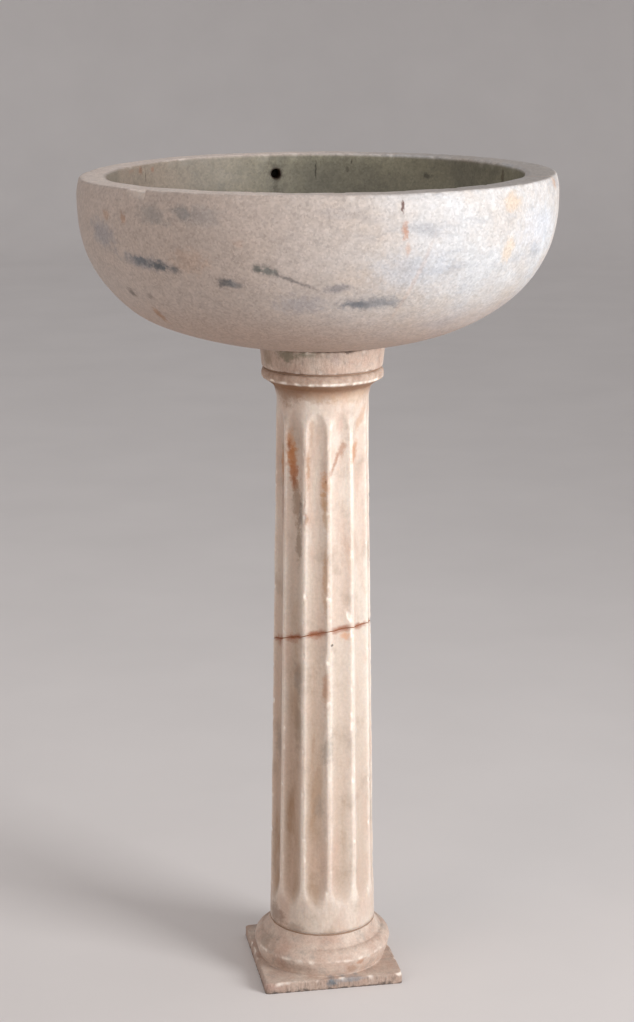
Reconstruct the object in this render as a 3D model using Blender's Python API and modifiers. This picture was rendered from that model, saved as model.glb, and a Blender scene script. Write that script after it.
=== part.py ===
"""Marble baptismal font: a bowl on a pinned, fluted column with a torus base.

The stones stand on one vertical axis, Z.  Each joint between two stones has a bed of
lime mortar and a square iron dowel that is run in with lead.  The column was once
broken across and is pinned together again.  Metres, +Z up, plinth underside at z = 0.
"""
import math

import bmesh
import bpy
from mathutils import Vector

# Driving dimensions, metres
GAP = 0.0003                # clearance between pieces that touch
BED = 0.0014                # thickness of a mortar bed

RIM_Z = 1.050               # top of the bowl, above the floor
BOWL_X = -0.0058            # the bowl sits a little to one side of the column
BOWL_RADIUS = 0.2952        # widest, just below the rim
BOWL_WIDEST_Z = 1.030
BOWL_FALL = 0.1905          # half height of the whole outer curve
BOWL_CURVE = 2.42           # 2 would be an ellipse, more is fuller
BOWL_LIP_RADIUS = 0.2925
RIM_WIDTH = 0.0345
RIM_ROUND = 0.0035
BASIN_DEPTH = 0.150
BASIN_CURVE = 2.30
WALL_HOLE_RADIUS = 0.0064
WALL_HOLE_DEPTH = 0.022
WALL_HOLE_ANGLE = math.radians(102.7)
WALL_HOLE_Z = RIM_Z - 0.024

COLLAR_TOP_Z = 0.8405
COLLAR_HEIGHT = 0.0285
COLLAR_TOP_RADIUS = 0.0777
COLLAR_FOOT_RADIUS = 0.0755

HEAD_RADIUS = 0.0771        # half-round moulding at the head of the shaft
HEAD_HEIGHT = 0.0230
SHAFT_TOP_RADIUS = 0.0580   # at the neck
SHAFT_FOOT_RADIUS = 0.0690
FLUTES = 12
FLUTE_DEPTH = 0.0050
FLUTE_HALF_ANGLE = math.radians(13.0)
FLUTE_TURN = math.radians(-90.0 + 8.0 + 15.0)
FLUTE_FOOT_Z = 0.104
FLUTE_HEAD_Z = 0.756

BREAK_Z = 0.4641            # where the break crosses the axis
BREAK_SLOPE_X = 0.184
BREAK_SLOPE_Y = -0.229
BREAK_WIDTH = 0.0020

BASE_TOP_Z = 0.0655
TORUS_RADIUS = 0.0898
TORUS_EQUATOR_Z = 0.0365
TORUS_TOP_Z = 0.0500
TORUS_SHOULDER_RADIUS = 0.0785
TORUS_UNDERCUT = 0.0062     # how far its foot stands in from its widest part
BASE_LEDGE = 0.0008         # the base stands this far out beyond the shaft's foot
PLINTH_SIDE = 0.1820
PLINTH_HEIGHT = 0.0145
PLINTH_TURN = math.radians(10.3)
PLINTH_ROUND = 0.0030

SOCKET_RADIUS = 0.0143
SOCKET_DEPTH = 0.038
DOWEL_SIDE = 0.016
DOWEL_END_LEAD = 0.003      # lead between a dowel's end and the bottom of its socket

TURN_STEPS = 64

# Heights that follow from those above
BOWL_UNDERSIDE_Z = COLLAR_TOP_Z + BED + 2 * GAP
COLLAR_FOOT_Z = COLLAR_TOP_Z - COLLAR_HEIGHT
SHAFT_TOP_Z = COLLAR_FOOT_Z - BED - 2 * GAP
SHAFT_FOOT_Z = BASE_TOP_Z + BED + 2 * GAP
BREAK_POINT = Vector((0.0, 0.0, BREAK_Z))
BREAK_NORMAL = Vector((-BREAK_SLOPE_X, -BREAK_SLOPE_Y, 1.0)).normalized()

PARTS = "baptismal_font"
CUTTERS = "cutters"
FLUTE_CUTTERS = "flute_cutters"


# ---------------------------------------------------------------- scene helpers

def clear_scene():
    for item in list(bpy.data.objects):
        bpy.data.objects.remove(item, do_unlink=True)


def new_collection(name):
    group = bpy.data.collections.new(name)
    bpy.context.scene.collection.children.link(group)
    return group


def new_material(name, colour, roughness, metallic=0.0):
    material = bpy.data.materials.new(name)
    material.use_nodes = True
    shader = material.node_tree.nodes["Principled BSDF"]
    shader.inputs["Base Color"].default_value = (*colour, 1.0)
    shader.inputs["Roughness"].default_value = roughness
    shader.inputs["Metallic"].default_value = metallic
    material.diffuse_color = (*colour, 1.0)
    return material


def place(name, mesh, group, material=None):
    item = bpy.data.objects.new(name, mesh)
    bpy.data.collections[group].objects.link(item)
    if material is not None:
        mesh.materials.append(material)
    else:
        item.hide_render = True
        item.display_type = 'WIRE'
    return item


def turned(name, profile, group, material=None, centre_x=0.0, steps=TURN_STEPS):
    """A profile of (radius, z) points, top to bottom down the outside, turned about Z."""
    mesh = bpy.data.meshes.new(name)
    shape = bmesh.new()
    points = [shape.verts.new((radius, 0.0, z)) for radius, z in profile]
    for first, second in zip(points, points[1:]):
        shape.edges.new((first, second))
    if profile[0][0] > 0.0:
        shape.edges.new((points[-1], points[0]))
    shape.to_mesh(mesh)
    shape.free()
    item = place(name, mesh, group, material)
    item.location.x = centre_x
    screw = item.modifiers.new("turn", 'SCREW')
    screw.steps = steps
    screw.render_steps = steps
    screw.use_merge_vertices = True
    screw.merge_threshold = 0.00001
    screw.use_smooth_shade = True
    return item


def block(name, size, centre, group, material=None):
    mesh = bpy.data.meshes.new(name)
    shape = bmesh.new()
    bmesh.ops.create_cube(shape, size=1.0)
    bmesh.ops.scale(shape, vec=size, verts=shape.verts)
    shape.to_mesh(mesh)
    shape.free()
    item = place(name, mesh, group, material)
    item.location = centre
    return item


def cut(item, cutter, operation='DIFFERENCE'):
    boolean = item.modifiers.new("cut_" + cutter.name, 'BOOLEAN')
    boolean.solver = 'EXACT'
    boolean.operation = operation
    boolean.object = cutter


def cut_by_group(item, group):
    boolean = item.modifiers.new("cut_" + group, 'BOOLEAN')
    boolean.solver = 'EXACT'
    boolean.operand_type = 'COLLECTION'
    boolean.collection = bpy.data.collections[group]


def round_edges(item, width, segments):
    bevel = item.modifiers.new("round_edges", 'BEVEL')
    bevel.width = width
    bevel.segments = segments
    bevel.limit_method = 'ANGLE'


def arc(centre, radius, start, end, count):
    """Points of a circle's arc in the (radius, z) plane, angles in degrees."""
    points = []
    for step in range(count + 1):
        angle = math.radians(start + (end - start) * step / count)
        points.append((centre[0] + radius * math.cos(angle),
                       centre[1] + radius * math.sin(angle)))
    return points


# ---------------------------------------------------------------- shared cutters

def socket_cutter(name, low, high):
    profile = [(0.0, high), (SOCKET_RADIUS, high), (SOCKET_RADIUS, low), (0.0, low)]
    return turned(name, profile, CUTTERS, steps=24)


def half_space(name, side, offset):
    """A block on one side of the break, its face at an offset along the break's normal."""
    size = 0.8
    item = block(name, (size, size, size), (0.0, 0.0, 0.0), CUTTERS)
    item.rotation_mode = 'QUATERNION'
    item.rotation_quaternion = BREAK_NORMAL.to_track_quat('Z', 'X')
    item.location = BREAK_POINT + BREAK_NORMAL * (offset + side * size / 2)
    return item


def shaft_radius(z):
    """Radius over the arrises: the shaft tapers in a straight line."""
    share = (z - SHAFT_FOOT_Z) / (SHAFT_TOP_Z - HEAD_HEIGHT - SHAFT_FOOT_Z)
    return SHAFT_FOOT_RADIUS + (SHAFT_TOP_RADIUS - SHAFT_FOOT_RADIUS) * share


def flute_radius(shaft):
    """Radius of a round tool that cuts one flute to its width and depth."""
    core = shaft - FLUTE_DEPTH
    reach = math.cos(FLUTE_HALF_ANGLE)
    across = shaft ** 2 + core ** 2 - 2 * shaft * core * reach
    return across / (2 * (shaft * reach - core))


def flute_cutters():
    """A tapered, round-ended bar for each flute, leaning with the taper of the shaft."""
    foot = flute_radius(shaft_radius(FLUTE_FOOT_Z))
    head = flute_radius(shaft_radius(FLUTE_HEAD_Z))
    rise = math.sqrt(2 * foot * FLUTE_DEPTH - FLUTE_DEPTH ** 2)
    low = FLUTE_FOOT_Z + rise
    high = FLUTE_HEAD_Z - rise
    profile = arc((0.0, high), head, 90.0, 0.0, 10)
    profile += arc((0.0, low), foot, 0.0, -90.0, 10)
    profile[0] = (0.0, high + head)
    profile[-1] = (0.0, low - foot)
    near = shaft_radius(low) + foot - FLUTE_DEPTH
    far = shaft_radius(high) + head - FLUTE_DEPTH
    lean = math.atan2(far - near, high - low)
    for number in range(FLUTES):
        turn = FLUTE_TURN + number * math.tau / FLUTES
        cutter = turned(f"flute_{number + 1:02d}", profile, FLUTE_CUTTERS, steps=40)
        cutter.rotation_euler = (0.0, lean, turn)
        reach = near - low * math.tan(lean)
        cutter.location = (reach * math.cos(turn), reach * math.sin(turn), 0.0)


# ---------------------------------------------------------------- stones

def bowl_outline():
    """Outer curve from the widest place to the flat underside, as (radius, z) points."""
    points = []
    count = 12
    bottom = (BOWL_WIDEST_Z - BOWL_UNDERSIDE_Z) / BOWL_FALL
    for step in range(count + 1):
        fall = bottom * math.sin(0.5 * math.pi * step / count)
        radius = BOWL_RADIUS * (1.0 - fall ** BOWL_CURVE) ** (1.0 / BOWL_CURVE)
        points.append((radius, BOWL_WIDEST_Z - fall * BOWL_FALL))
    return points


def basin_outline(mouth_radius, mouth_z):
    """Inner curve from the middle of the basin's floor up to the rim."""
    depth = BASIN_DEPTH - (RIM_Z - mouth_z)
    points = [(0.0, mouth_z - depth)]
    count = 10
    for step in range(1, count + 1):
        across = math.sin(0.5 * math.pi * step / count)
        fall = (1.0 - across ** BASIN_CURVE) ** (1.0 / BASIN_CURVE)
        points.append((mouth_radius * across, mouth_z - depth * fall))
    return points


def make_bowl(marble):
    inner_lip = BOWL_LIP_RADIUS - RIM_WIDTH
    shoulder_z = RIM_Z - RIM_ROUND
    profile = basin_outline(inner_lip, shoulder_z)[:-1]
    profile += arc((inner_lip + RIM_ROUND, shoulder_z), RIM_ROUND, 180.0, 90.0, 3)
    profile += arc((BOWL_LIP_RADIUS - RIM_ROUND, shoulder_z), RIM_ROUND, 90.0, 0.0, 3)
    profile += bowl_outline()
    profile.append((0.0, BOWL_UNDERSIDE_Z))
    bowl = turned("bowl", profile, PARTS, marble, centre_x=BOWL_X)

    socket_top = BOWL_UNDERSIDE_Z + SOCKET_DEPTH
    cut(bowl, socket_cutter("bowl_socket", BOWL_UNDERSIDE_Z - 0.01, socket_top))

    length = WALL_HOLE_DEPTH + 0.03
    drill = turned("wall_hole", [(0.0, length / 2), (WALL_HOLE_RADIUS, length / 2),
                                 (WALL_HOLE_RADIUS, -length / 2), (0.0, -length / 2)],
                   CUTTERS, steps=20)
    drill.rotation_euler = (0.0, math.radians(90.0), WALL_HOLE_ANGLE)
    middle = inner_lip + WALL_HOLE_DEPTH - length / 2
    drill.location = (BOWL_X + middle * math.cos(WALL_HOLE_ANGLE),
                      middle * math.sin(WALL_HOLE_ANGLE), WALL_HOLE_Z)
    cut(bowl, drill)


def make_collar(marble):
    edge = 0.0015
    profile = [(SOCKET_RADIUS, COLLAR_TOP_Z),
               (COLLAR_TOP_RADIUS - edge, COLLAR_TOP_Z),
               (COLLAR_TOP_RADIUS, COLLAR_TOP_Z - edge),
               (COLLAR_FOOT_RADIUS, COLLAR_FOOT_Z + edge),
               (COLLAR_FOOT_RADIUS - edge, COLLAR_FOOT_Z),
               (SOCKET_RADIUS, COLLAR_FOOT_Z)]
    turned("collar", profile, PARTS, marble)


def shaft_profile():
    """Whole column as it was before it broke: moulded head, neck, taper and foot."""
    half = HEAD_HEIGHT / 2
    middle = SHAFT_TOP_Z - half
    neck = SHAFT_TOP_Z - HEAD_HEIGHT
    flare = 0.0035
    sweep = 0.014
    profile = [(0.0, SHAFT_TOP_Z), (HEAD_RADIUS - 0.45 * half, SHAFT_TOP_Z)]
    for degrees in (50, 25, 0, -25, -50, -75):
        angle = math.radians(degrees)
        profile.append((HEAD_RADIUS - half + half * math.cos(angle),
                        middle + half * math.sin(angle)))
    profile.append((SHAFT_TOP_RADIUS + flare, neck))
    for share in (0.25, 0.5, 0.75, 1.0):
        z = neck - sweep * share
        profile.append((shaft_radius(z) + flare * (1.0 - share) ** 2, z))
    profile += [(shaft_radius(SHAFT_FOOT_Z), SHAFT_FOOT_Z), (0.0, SHAFT_FOOT_Z)]
    return profile


def make_shaft(marble):
    head_socket = socket_cutter("shaft_head_socket", SHAFT_TOP_Z - SOCKET_DEPTH,
                                SHAFT_TOP_Z + 0.01)
    foot_socket = socket_cutter("shaft_foot_socket", SHAFT_FOOT_Z - 0.01,
                                SHAFT_FOOT_Z + SOCKET_DEPTH)
    break_socket = socket_cutter("break_socket", BREAK_Z - SOCKET_DEPTH,
                                 BREAK_Z + SOCKET_DEPTH)
    stones = (("upper_shaft", half_space("below_break", -1, BREAK_WIDTH / 2), head_socket),
              ("lower_shaft", half_space("above_break", 1, -BREAK_WIDTH / 2), foot_socket))
    for name, other_side, end_socket in stones:
        stone = turned(name, shaft_profile(), PARTS, marble)
        cut_by_group(stone, FLUTE_CUTTERS)
        cut(stone, other_side)
        cut(stone, end_socket)
        cut(stone, break_socket)


def make_base_block(marble):
    """Torus and hollow moulding, turned, on the square plinth: one stone."""
    waist = SHAFT_FOOT_RADIUS + BASE_LEDGE
    profile = [(0.0, BASE_TOP_Z), (waist, BASE_TOP_Z)]
    for share in (0.3, 0.6, 1.0):
        profile.append((waist + (TORUS_SHOULDER_RADIUS - waist) * share ** 2,
                        BASE_TOP_Z + (TORUS_TOP_Z - BASE_TOP_Z) * share))
    bulge = TORUS_TOP_Z - TORUS_EQUATOR_Z
    for degrees in (60, 40, 20, 0):
        angle = math.radians(degrees)
        profile.append((TORUS_RADIUS - bulge * (1.0 - math.cos(angle)),
                        TORUS_EQUATOR_Z + bulge * math.sin(angle)))
    fall = TORUS_EQUATOR_Z - PLINTH_HEIGHT
    for share in (0.35, 0.7):
        profile.append((TORUS_RADIUS - TORUS_UNDERCUT * share ** 1.5,
                        TORUS_EQUATOR_Z - fall * share))
    foot = TORUS_RADIUS - TORUS_UNDERCUT
    inside = PLINTH_HEIGHT / 2
    profile += [(foot, PLINTH_HEIGHT - 0.001), (foot, inside), (0.0, inside)]
    base = turned("base_block", profile, PARTS, marble)

    plinth = block("plinth", (PLINTH_SIDE, PLINTH_SIDE, PLINTH_HEIGHT),
                   (0.0, 0.0, PLINTH_HEIGHT / 2), CUTTERS)
    plinth.rotation_euler.z = PLINTH_TURN
    round_edges(plinth, PLINTH_ROUND, 3)
    cut(base, plinth, 'UNION')
    cut(base, socket_cutter("base_socket", BASE_TOP_Z - SOCKET_DEPTH, BASE_TOP_Z + 0.01))


# ---------------------------------------------------------------- mortar

def make_bedding(name, low, radius, mortar):
    """A thin disc of mortar with a hole for the dowel."""
    hole = DOWEL_SIDE * math.sqrt(0.5) + 2 * GAP
    turned(name, [(hole, low + BED), (radius, low + BED), (radius, low), (hole, low)],
           PARTS, mortar, steps=32)


def make_break_mortar(mortar):
    """The slanting slice that fills the break, flush in the flutes."""
    radius = shaft_radius(BREAK_Z) - 0.0012
    low, high = BREAK_Z - 0.05, BREAK_Z + 0.05
    profile = [(0.0, high), (radius, high), (radius, low), (0.0, low)]
    slice_ = turned("break_mortar", profile, PARTS, mortar)
    half = BREAK_WIDTH / 2 - GAP
    cut_by_group(slice_, FLUTE_CUTTERS)
    cut(slice_, half_space("over_mortar", 1, half))
    cut(slice_, half_space("under_mortar", -1, -half))
    cut(slice_, socket_cutter("mortar_hole", low, high))


# ---------------------------------------------------------------- dowels and lead

def make_dowel(name, low, high, iron):
    dowel = block(name, (DOWEL_SIDE, DOWEL_SIDE, high - low),
                  (0.0, 0.0, (low + high) / 2), PARTS, iron)
    round_edges(dowel, 0.001, 1)


def make_lead(name, low, high, dowel_low, dowel_high, lead, trim=None):
    """Lead that fills a socket round its dowel, from the joint to the socket's end."""
    radius = SOCKET_RADIUS - GAP
    plug = turned(name, [(0.0, high), (radius, high), (radius, low), (0.0, low)],
                  PARTS, lead, steps=24)
    side = DOWEL_SIDE + 2 * GAP
    core = block(name + "_core", (side, side, dowel_high - dowel_low + 2 * GAP),
                 (0.0, 0.0, (dowel_low + dowel_high) / 2), CUTTERS)
    cut(plug, core)
    if trim is not None:
        cut(plug, trim)


def make_fixings(iron, lead):
    reach = SOCKET_DEPTH - GAP - DOWEL_END_LEAD - GAP

    low, high = SHAFT_TOP_Z - reach, BOWL_UNDERSIDE_Z + reach
    make_dowel("bowl_dowel", low, high, iron)
    make_lead("bowl_socket_lead", BOWL_UNDERSIDE_Z + GAP,
              BOWL_UNDERSIDE_Z + SOCKET_DEPTH - GAP, low, high, lead)
    make_lead("collar_hole_lead", COLLAR_FOOT_Z + GAP, COLLAR_TOP_Z - GAP, low, high, lead)
    make_lead("shaft_head_lead", SHAFT_TOP_Z - SOCKET_DEPTH + GAP, SHAFT_TOP_Z - GAP,
              low, high, lead)

    low, high = BREAK_Z - reach, BREAK_Z + reach
    make_dowel("break_pin", low, high, iron)
    edge = BREAK_WIDTH / 2 + GAP
    make_lead("upper_break_lead", BREAK_Z - SOCKET_DEPTH / 2, BREAK_Z + SOCKET_DEPTH - GAP,
              low, high, lead, half_space("under_upper_lead", -1, edge))
    make_lead("lower_break_lead", BREAK_Z - SOCKET_DEPTH + GAP, BREAK_Z + SOCKET_DEPTH / 2,
              low, high, lead, half_space("over_lower_lead", 1, -edge))

    low, high = BASE_TOP_Z - reach, SHAFT_FOOT_Z + reach
    make_dowel("base_dowel", low, high, iron)
    make_lead("shaft_foot_lead", SHAFT_FOOT_Z + GAP, SHAFT_FOOT_Z + SOCKET_DEPTH - GAP,
              low, high, lead)
    make_lead("base_socket_lead", BASE_TOP_Z - SOCKET_DEPTH + GAP, BASE_TOP_Z - GAP,
              low, high, lead)


def main():
    clear_scene()
    for name in (PARTS, CUTTERS, FLUTE_CUTTERS):
        new_collection(name)
    grey_marble = new_material("grey_white_marble", (0.60, 0.56, 0.52), 0.55)
    shaft_marble = new_material("cream_marble", (0.68, 0.56, 0.46), 0.45)
    base_marble = new_material("base_marble", (0.60, 0.52, 0.46), 0.60)
    mortar = new_material("lime_mortar", (0.42, 0.36, 0.30), 0.90)
    stained_mortar = new_material("rust_stained_mortar", (0.30, 0.14, 0.07), 0.90)
    iron = new_material("rusty_iron", (0.16, 0.08, 0.05), 0.80, 0.6)
    lead = new_material("lead", (0.25, 0.26, 0.28), 0.50, 0.9)

    flute_cutters()
    make_bowl(grey_marble)
    make_collar(base_marble)
    make_shaft(shaft_marble)
    make_base_block(base_marble)
    make_bedding("bowl_bedding", COLLAR_TOP_Z + GAP, COLLAR_TOP_RADIUS - 0.004, mortar)
    make_bedding("collar_bedding", SHAFT_TOP_Z + GAP, HEAD_RADIUS - 0.008, mortar)
    make_bedding("base_bedding", BASE_TOP_Z + GAP, SHAFT_FOOT_RADIUS - 0.001, mortar)
    make_break_mortar(stained_mortar)
    make_fixings(iron, lead)


main()
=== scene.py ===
"""Looks for a marble baptismal font: a bowl on a mended, fluted column with a square foot."""

import math
from functools import partial

import bmesh
import bpy
import numpy as np
from bpy.props import FloatProperty, FloatVectorProperty, PointerProperty
from mathutils import Matrix, Vector, noise


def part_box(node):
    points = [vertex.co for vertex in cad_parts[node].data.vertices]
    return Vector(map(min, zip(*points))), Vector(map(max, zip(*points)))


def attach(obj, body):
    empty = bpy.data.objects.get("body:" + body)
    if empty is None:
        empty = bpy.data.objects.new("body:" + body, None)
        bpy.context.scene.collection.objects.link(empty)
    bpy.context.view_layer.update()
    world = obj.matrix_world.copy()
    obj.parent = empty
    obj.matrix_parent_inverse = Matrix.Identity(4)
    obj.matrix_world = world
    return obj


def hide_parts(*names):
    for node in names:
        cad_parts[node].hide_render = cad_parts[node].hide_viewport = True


bl_info = {
    "name": "Marble Baptismal Font",
    "version": (1, 0, 0),
    "blender": (4, 5, 0),
    "location": "3D View > Sidebar > Font",
    "description": "Carves a marble font round its plain solids and gives it worn stone finishes",
    "category": "Add Mesh",
}

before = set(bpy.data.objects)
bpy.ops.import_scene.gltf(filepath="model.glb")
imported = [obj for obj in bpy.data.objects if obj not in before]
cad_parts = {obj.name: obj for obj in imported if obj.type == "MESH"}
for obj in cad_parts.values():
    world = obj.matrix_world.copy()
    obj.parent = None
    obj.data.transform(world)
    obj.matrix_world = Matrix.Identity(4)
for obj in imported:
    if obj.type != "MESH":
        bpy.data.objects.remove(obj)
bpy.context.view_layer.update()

BOWL_LOW, BOWL_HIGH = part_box("bowl")
COLLAR_LOW, COLLAR_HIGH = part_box("collar")
UPPER_LOW, UPPER_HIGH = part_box("upper_shaft")
LOWER_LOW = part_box("lower_shaft")[0]
BASE_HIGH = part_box("base_block")[1]
LEAD_LOW, LEAD_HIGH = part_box("bowl_socket_lead")

# The gap that the plain solids keep where two pieces touch.
TOUCH = 0.0003

# Bowl
BOWL_X = (BOWL_LOW.x + BOWL_HIGH.x) / 2
BOWL_RADIUS = (BOWL_HIGH.x - BOWL_LOW.x) / 2
RIM_Z = BOWL_HIGH.z + 0.0024
SEAT_Z = BOWL_LOW.z
BOWL_WIDEST_Z = BOWL_HIGH.z - 0.020
BOWL_FALL = BOWL_WIDEST_Z - SEAT_Z + 0.003
BOWL_CURVE = 2.42
LIP_RADIUS = BOWL_RADIUS - 0.0027
RIM_WIDTH = 0.0345
RIM_ROUND = 0.0035
BASIN_RADIUS = LIP_RADIUS - RIM_WIDTH
BASIN_DEPTH = 0.150
BASIN_CURVE = 2.30
HOLE_ANGLE = math.radians(102.7)
HOLE_Z = BOWL_HIGH.z - 0.024
HOLE_RADIUS = 0.0058
HOLE_DEPTH = 0.022
HOLE_OUTWARD = Vector((math.cos(HOLE_ANGLE), math.sin(HOLE_ANGLE), 0))
HOLE_MOUTH = Vector((BOWL_X, 0, HOLE_Z)) + HOLE_OUTWARD * (BASIN_RADIUS - 0.0035)

# Sockets for the dowels, the same in every stone
SOCKET_RADIUS = (LEAD_HIGH.x - LEAD_LOW.x) / 2 + TOUCH
SOCKET_DEPTH = 0.038

# Column
SHAFT_TOP_Z = UPPER_HIGH.z
SHAFT_FOOT_Z = LOWER_LOW.z
SHAFT_FOOT_RADIUS = 0.0696
SHAFT_TOP_RADIUS = 0.0580
HEAD_RADIUS = (UPPER_HIGH.x - UPPER_LOW.x) / 2
HEAD_HEIGHT = 0.0230
NECK_Z = SHAFT_TOP_Z - HEAD_HEIGHT
FLUTES = 12
FLUTE_PITCH = 2 * math.pi / FLUTES
FLUTE_HALF_ANGLE = math.radians(13)
FLUTE_DEPTH = 0.0050
FLUTE_TURN = math.radians(-67)
FLUTE_HEAD_Z = 0.761
FLUTE_FOOT_Z = 0.104
FLUTE_END = 0.032
BREAK_Z = 0.4641
BREAK_SLOPE_X = 0.184
BREAK_SLOPE_Y = -0.229
BREAK_WIDTH = 0.0020
BREAK_SEAM = 0.0010

# Base block
PLINTH_SIDE = 0.1820
PLINTH_HEIGHT = 0.0145
PLINTH_TURN = math.radians(10.3)
PLINTH_CORNER = 0.0045
PLINTH_ROUND = 0.0030
TORUS_RADIUS = 0.0898
TORUS_EQUATOR_Z = 0.0365
TORUS_UNDERCUT = 0.0062
TORUS_SHOULDER_Z = 0.0500
TORUS_SHOULDER_RADIUS = 0.0785
BASE_TOP_RADIUS = 0.0698
PIT_ANGLE = math.radians(5.5 - 90)
BASE_TOP_Z = BASE_HIGH.z

# Mortar beds: how far each comes out past its plain solid, and how ragged its edge has worn
BEDS = (
    ("bowl_bedding", 0.0022, 0.0024),
    ("collar_bedding", 0.0048, 0.0008),
    ("base_bedding", 0.0020, 0.0008),
)

# How finely the pieces are cut: points round a ring
BOWL_SIDES = 480
COLUMN_SIDES = 480
BASE_SIDES = 720
BED_SIDES = 240

# Marble and lime bend light alike. Less light goes into a dull face than into a polished one.
STONE_IOR = 1.5
DULL_GLOW = (0.12, (1.0, 0.75, 0.55), 0.004)
CLEAR_GLOW = (0.25, (1.0, 0.65, 0.42), 0.006)

# How one colour gives way to another
EVENLY = "LINEAR"
SOFTLY = "SMOOTHSTEP"


def hex_colour(code):
    """An sRGB hex colour such as D9CFC4 as linear RGBA."""
    channels = [int(code[i : i + 2], 16) / 255 for i in (0, 2, 4)]
    linear = [c / 12.92 if c <= 0.04045 else ((c + 0.055) / 1.055) ** 2.4 for c in channels]
    return (*linear, 1.0)


# ---------------------------------------------------------------- carving


def uneven(points, size, seed=0.0):
    """Smooth noise from about -1 to 1 at each point, with bumps of the given size in metres."""
    flat = (points.reshape(-1, 3) / size + seed).tolist()
    return np.array([noise.noise(p) for p in flat]).reshape(points.shape[:-1])


def step_up(value, low, high):
    """0 below low and 1 above high, with a smooth rise between."""
    t = np.clip((value - low) / (high - low), 0, 1)
    return t * t * (3 - 2 * t)


def near(value, place, width):
    """1 at a place, falling to nothing about twice the width away on either side."""
    return np.exp(-(((value - place) / width) ** 2))


def chips(points, size, seed, rarity):
    """Scattered chips of the given size in metres, from 0 up. The rarer they are, the smaller."""
    return np.clip(uneven(points, size, seed) - rarity, 0, 1)


def ring_points(radius, height, angles):
    """Points of shape (rings, sides, 3) from radii and heights that may differ round each ring."""
    radius, height, angles = np.broadcast_arrays(radius, height, angles)
    return np.stack([radius * np.cos(angles), radius * np.sin(angles), height], axis=-1)


def skin(name, rings, ends=None, **attributes):
    """A closed mesh object through rings of points. ends are the two closing points; without them the
    last ring joins the first, as in a washer. attributes are named values, one for each ring point."""
    count, sides = rings.shape[:2]
    points = rings.reshape(-1, 3)
    side = np.arange(sides)
    beyond = np.roll(side, -1)
    faces = []
    for ring in range(count if ends is None else count - 1):
        a, b = ring * sides, (ring + 1) % count * sides
        faces += np.stack([a + side, a + beyond, b + beyond, b + side], axis=1).tolist()
    if ends is not None:
        points = np.concatenate([points, np.array(ends, float)])
        first, last = count * sides, count * sides + 1
        closing = (count - 1) * sides
        faces += np.stack([beyond, side, np.full(sides, first)], axis=1).tolist()
        faces += np.stack([closing + side, closing + beyond, np.full(sides, last)], axis=1).tolist()
    mesh = bpy.data.meshes.new(name)
    mesh.from_pydata(points.tolist(), [], faces)
    for label, values in attributes.items():
        flat = np.broadcast_to(values, (count, sides)).reshape(-1)
        if ends is not None:
            flat = np.concatenate([flat, [flat[0], flat[-1]]])
        mesh.attributes.new(label, "FLOAT", "POINT").data.foreach_set("value", flat.astype(np.float32))
    shape = bmesh.new()
    shape.from_mesh(mesh)
    bmesh.ops.recalc_face_normals(shape, faces=shape.faces)
    shape.to_mesh(mesh)
    shape.free()
    mesh.shade_smooth()
    piece = bpy.data.objects.new(name, mesh)
    bpy.context.scene.collection.objects.link(piece)
    return piece


def finish_piece(piece, node, material):
    """Gives a piece its material, hangs it under the root body and hides the plain solid it stands for."""
    piece.data.materials.clear()
    piece.data.materials.append(material)
    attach(piece, "root")
    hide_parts(node)


def even_angles(sides, start=0.0):
    return start + np.arange(sides) * 2 * math.pi / sides


# ---------------------------------------------------------------- bowl


def bowl_section():
    """Radius, height, share of inside and share of rim at each ring, from the socket's end round to the
    basin floor."""
    socket_end = SEAT_Z + SOCKET_DEPTH
    socket = [(SOCKET_RADIUS * 0.6, socket_end), (SOCKET_RADIUS, socket_end), (SOCKET_RADIUS, SEAT_Z)]
    fall_share = ((BOWL_WIDEST_Z - SEAT_Z) / BOWL_FALL) ** BOWL_CURVE
    seat_radius = BOWL_RADIUS * (1 - fall_share) ** (1 / BOWL_CURVE)
    seat = [(r, SEAT_Z) for r in np.linspace(SOCKET_RADIUS + 0.002, seat_radius - 0.002, 6)]
    last = math.asin(math.sqrt(fall_share))
    turns = last * (1 - np.linspace(0, 1, 56) ** 1.15)
    wall = [
        (
            BOWL_RADIUS * math.cos(t) ** (2 / BOWL_CURVE),
            BOWL_WIDEST_Z - BOWL_FALL * math.sin(t) ** (2 / BOWL_CURVE),
        )
        for t in turns
    ]
    lip_z = RIM_Z - RIM_ROUND
    lip_share = np.linspace(0, 1, 8)[1:-1]
    lip = [
        (BOWL_RADIUS + (LIP_RADIUS - BOWL_RADIUS) * s**2, BOWL_WIDEST_Z + (lip_z - BOWL_WIDEST_Z) * s)
        for s in lip_share
    ]
    quarter = np.linspace(0, math.pi / 2, 7)
    outer_round = [
        (LIP_RADIUS - RIM_ROUND * (1 - math.cos(t)), lip_z + RIM_ROUND * math.sin(t)) for t in quarter
    ]
    rim = [(r, RIM_Z) for r in np.linspace(LIP_RADIUS - RIM_ROUND, BASIN_RADIUS + RIM_ROUND, 12)[1:-1]]
    inner_round = [
        (BASIN_RADIUS + RIM_ROUND * (1 - math.sin(t)), lip_z + RIM_ROUND * math.cos(t)) for t in quarter
    ]
    drop = lip_z - (RIM_Z - BASIN_DEPTH)
    basin = [
        (BASIN_RADIUS * math.cos(t) ** (2 / BASIN_CURVE), lip_z - drop * math.sin(t) ** (2 / BASIN_CURVE))
        for t in np.linspace(0, math.pi / 2, 44)[1:-1]
    ]
    outside = len(socket + seat + wall + lip + outer_round + rim)
    section = np.array(socket + seat + wall + lip + outer_round + rim + inner_round + basin)
    ring = np.arange(len(section))
    inside = np.clip((ring - outside + 1) / 5, 0, 1)
    on_rim = np.clip((ring - outside + len(rim) + 4) / 3, 0, 1) * (1 - inside)
    return section[:, :1], section[:, 1:], inside[:, None], on_rim[:, None]


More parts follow.
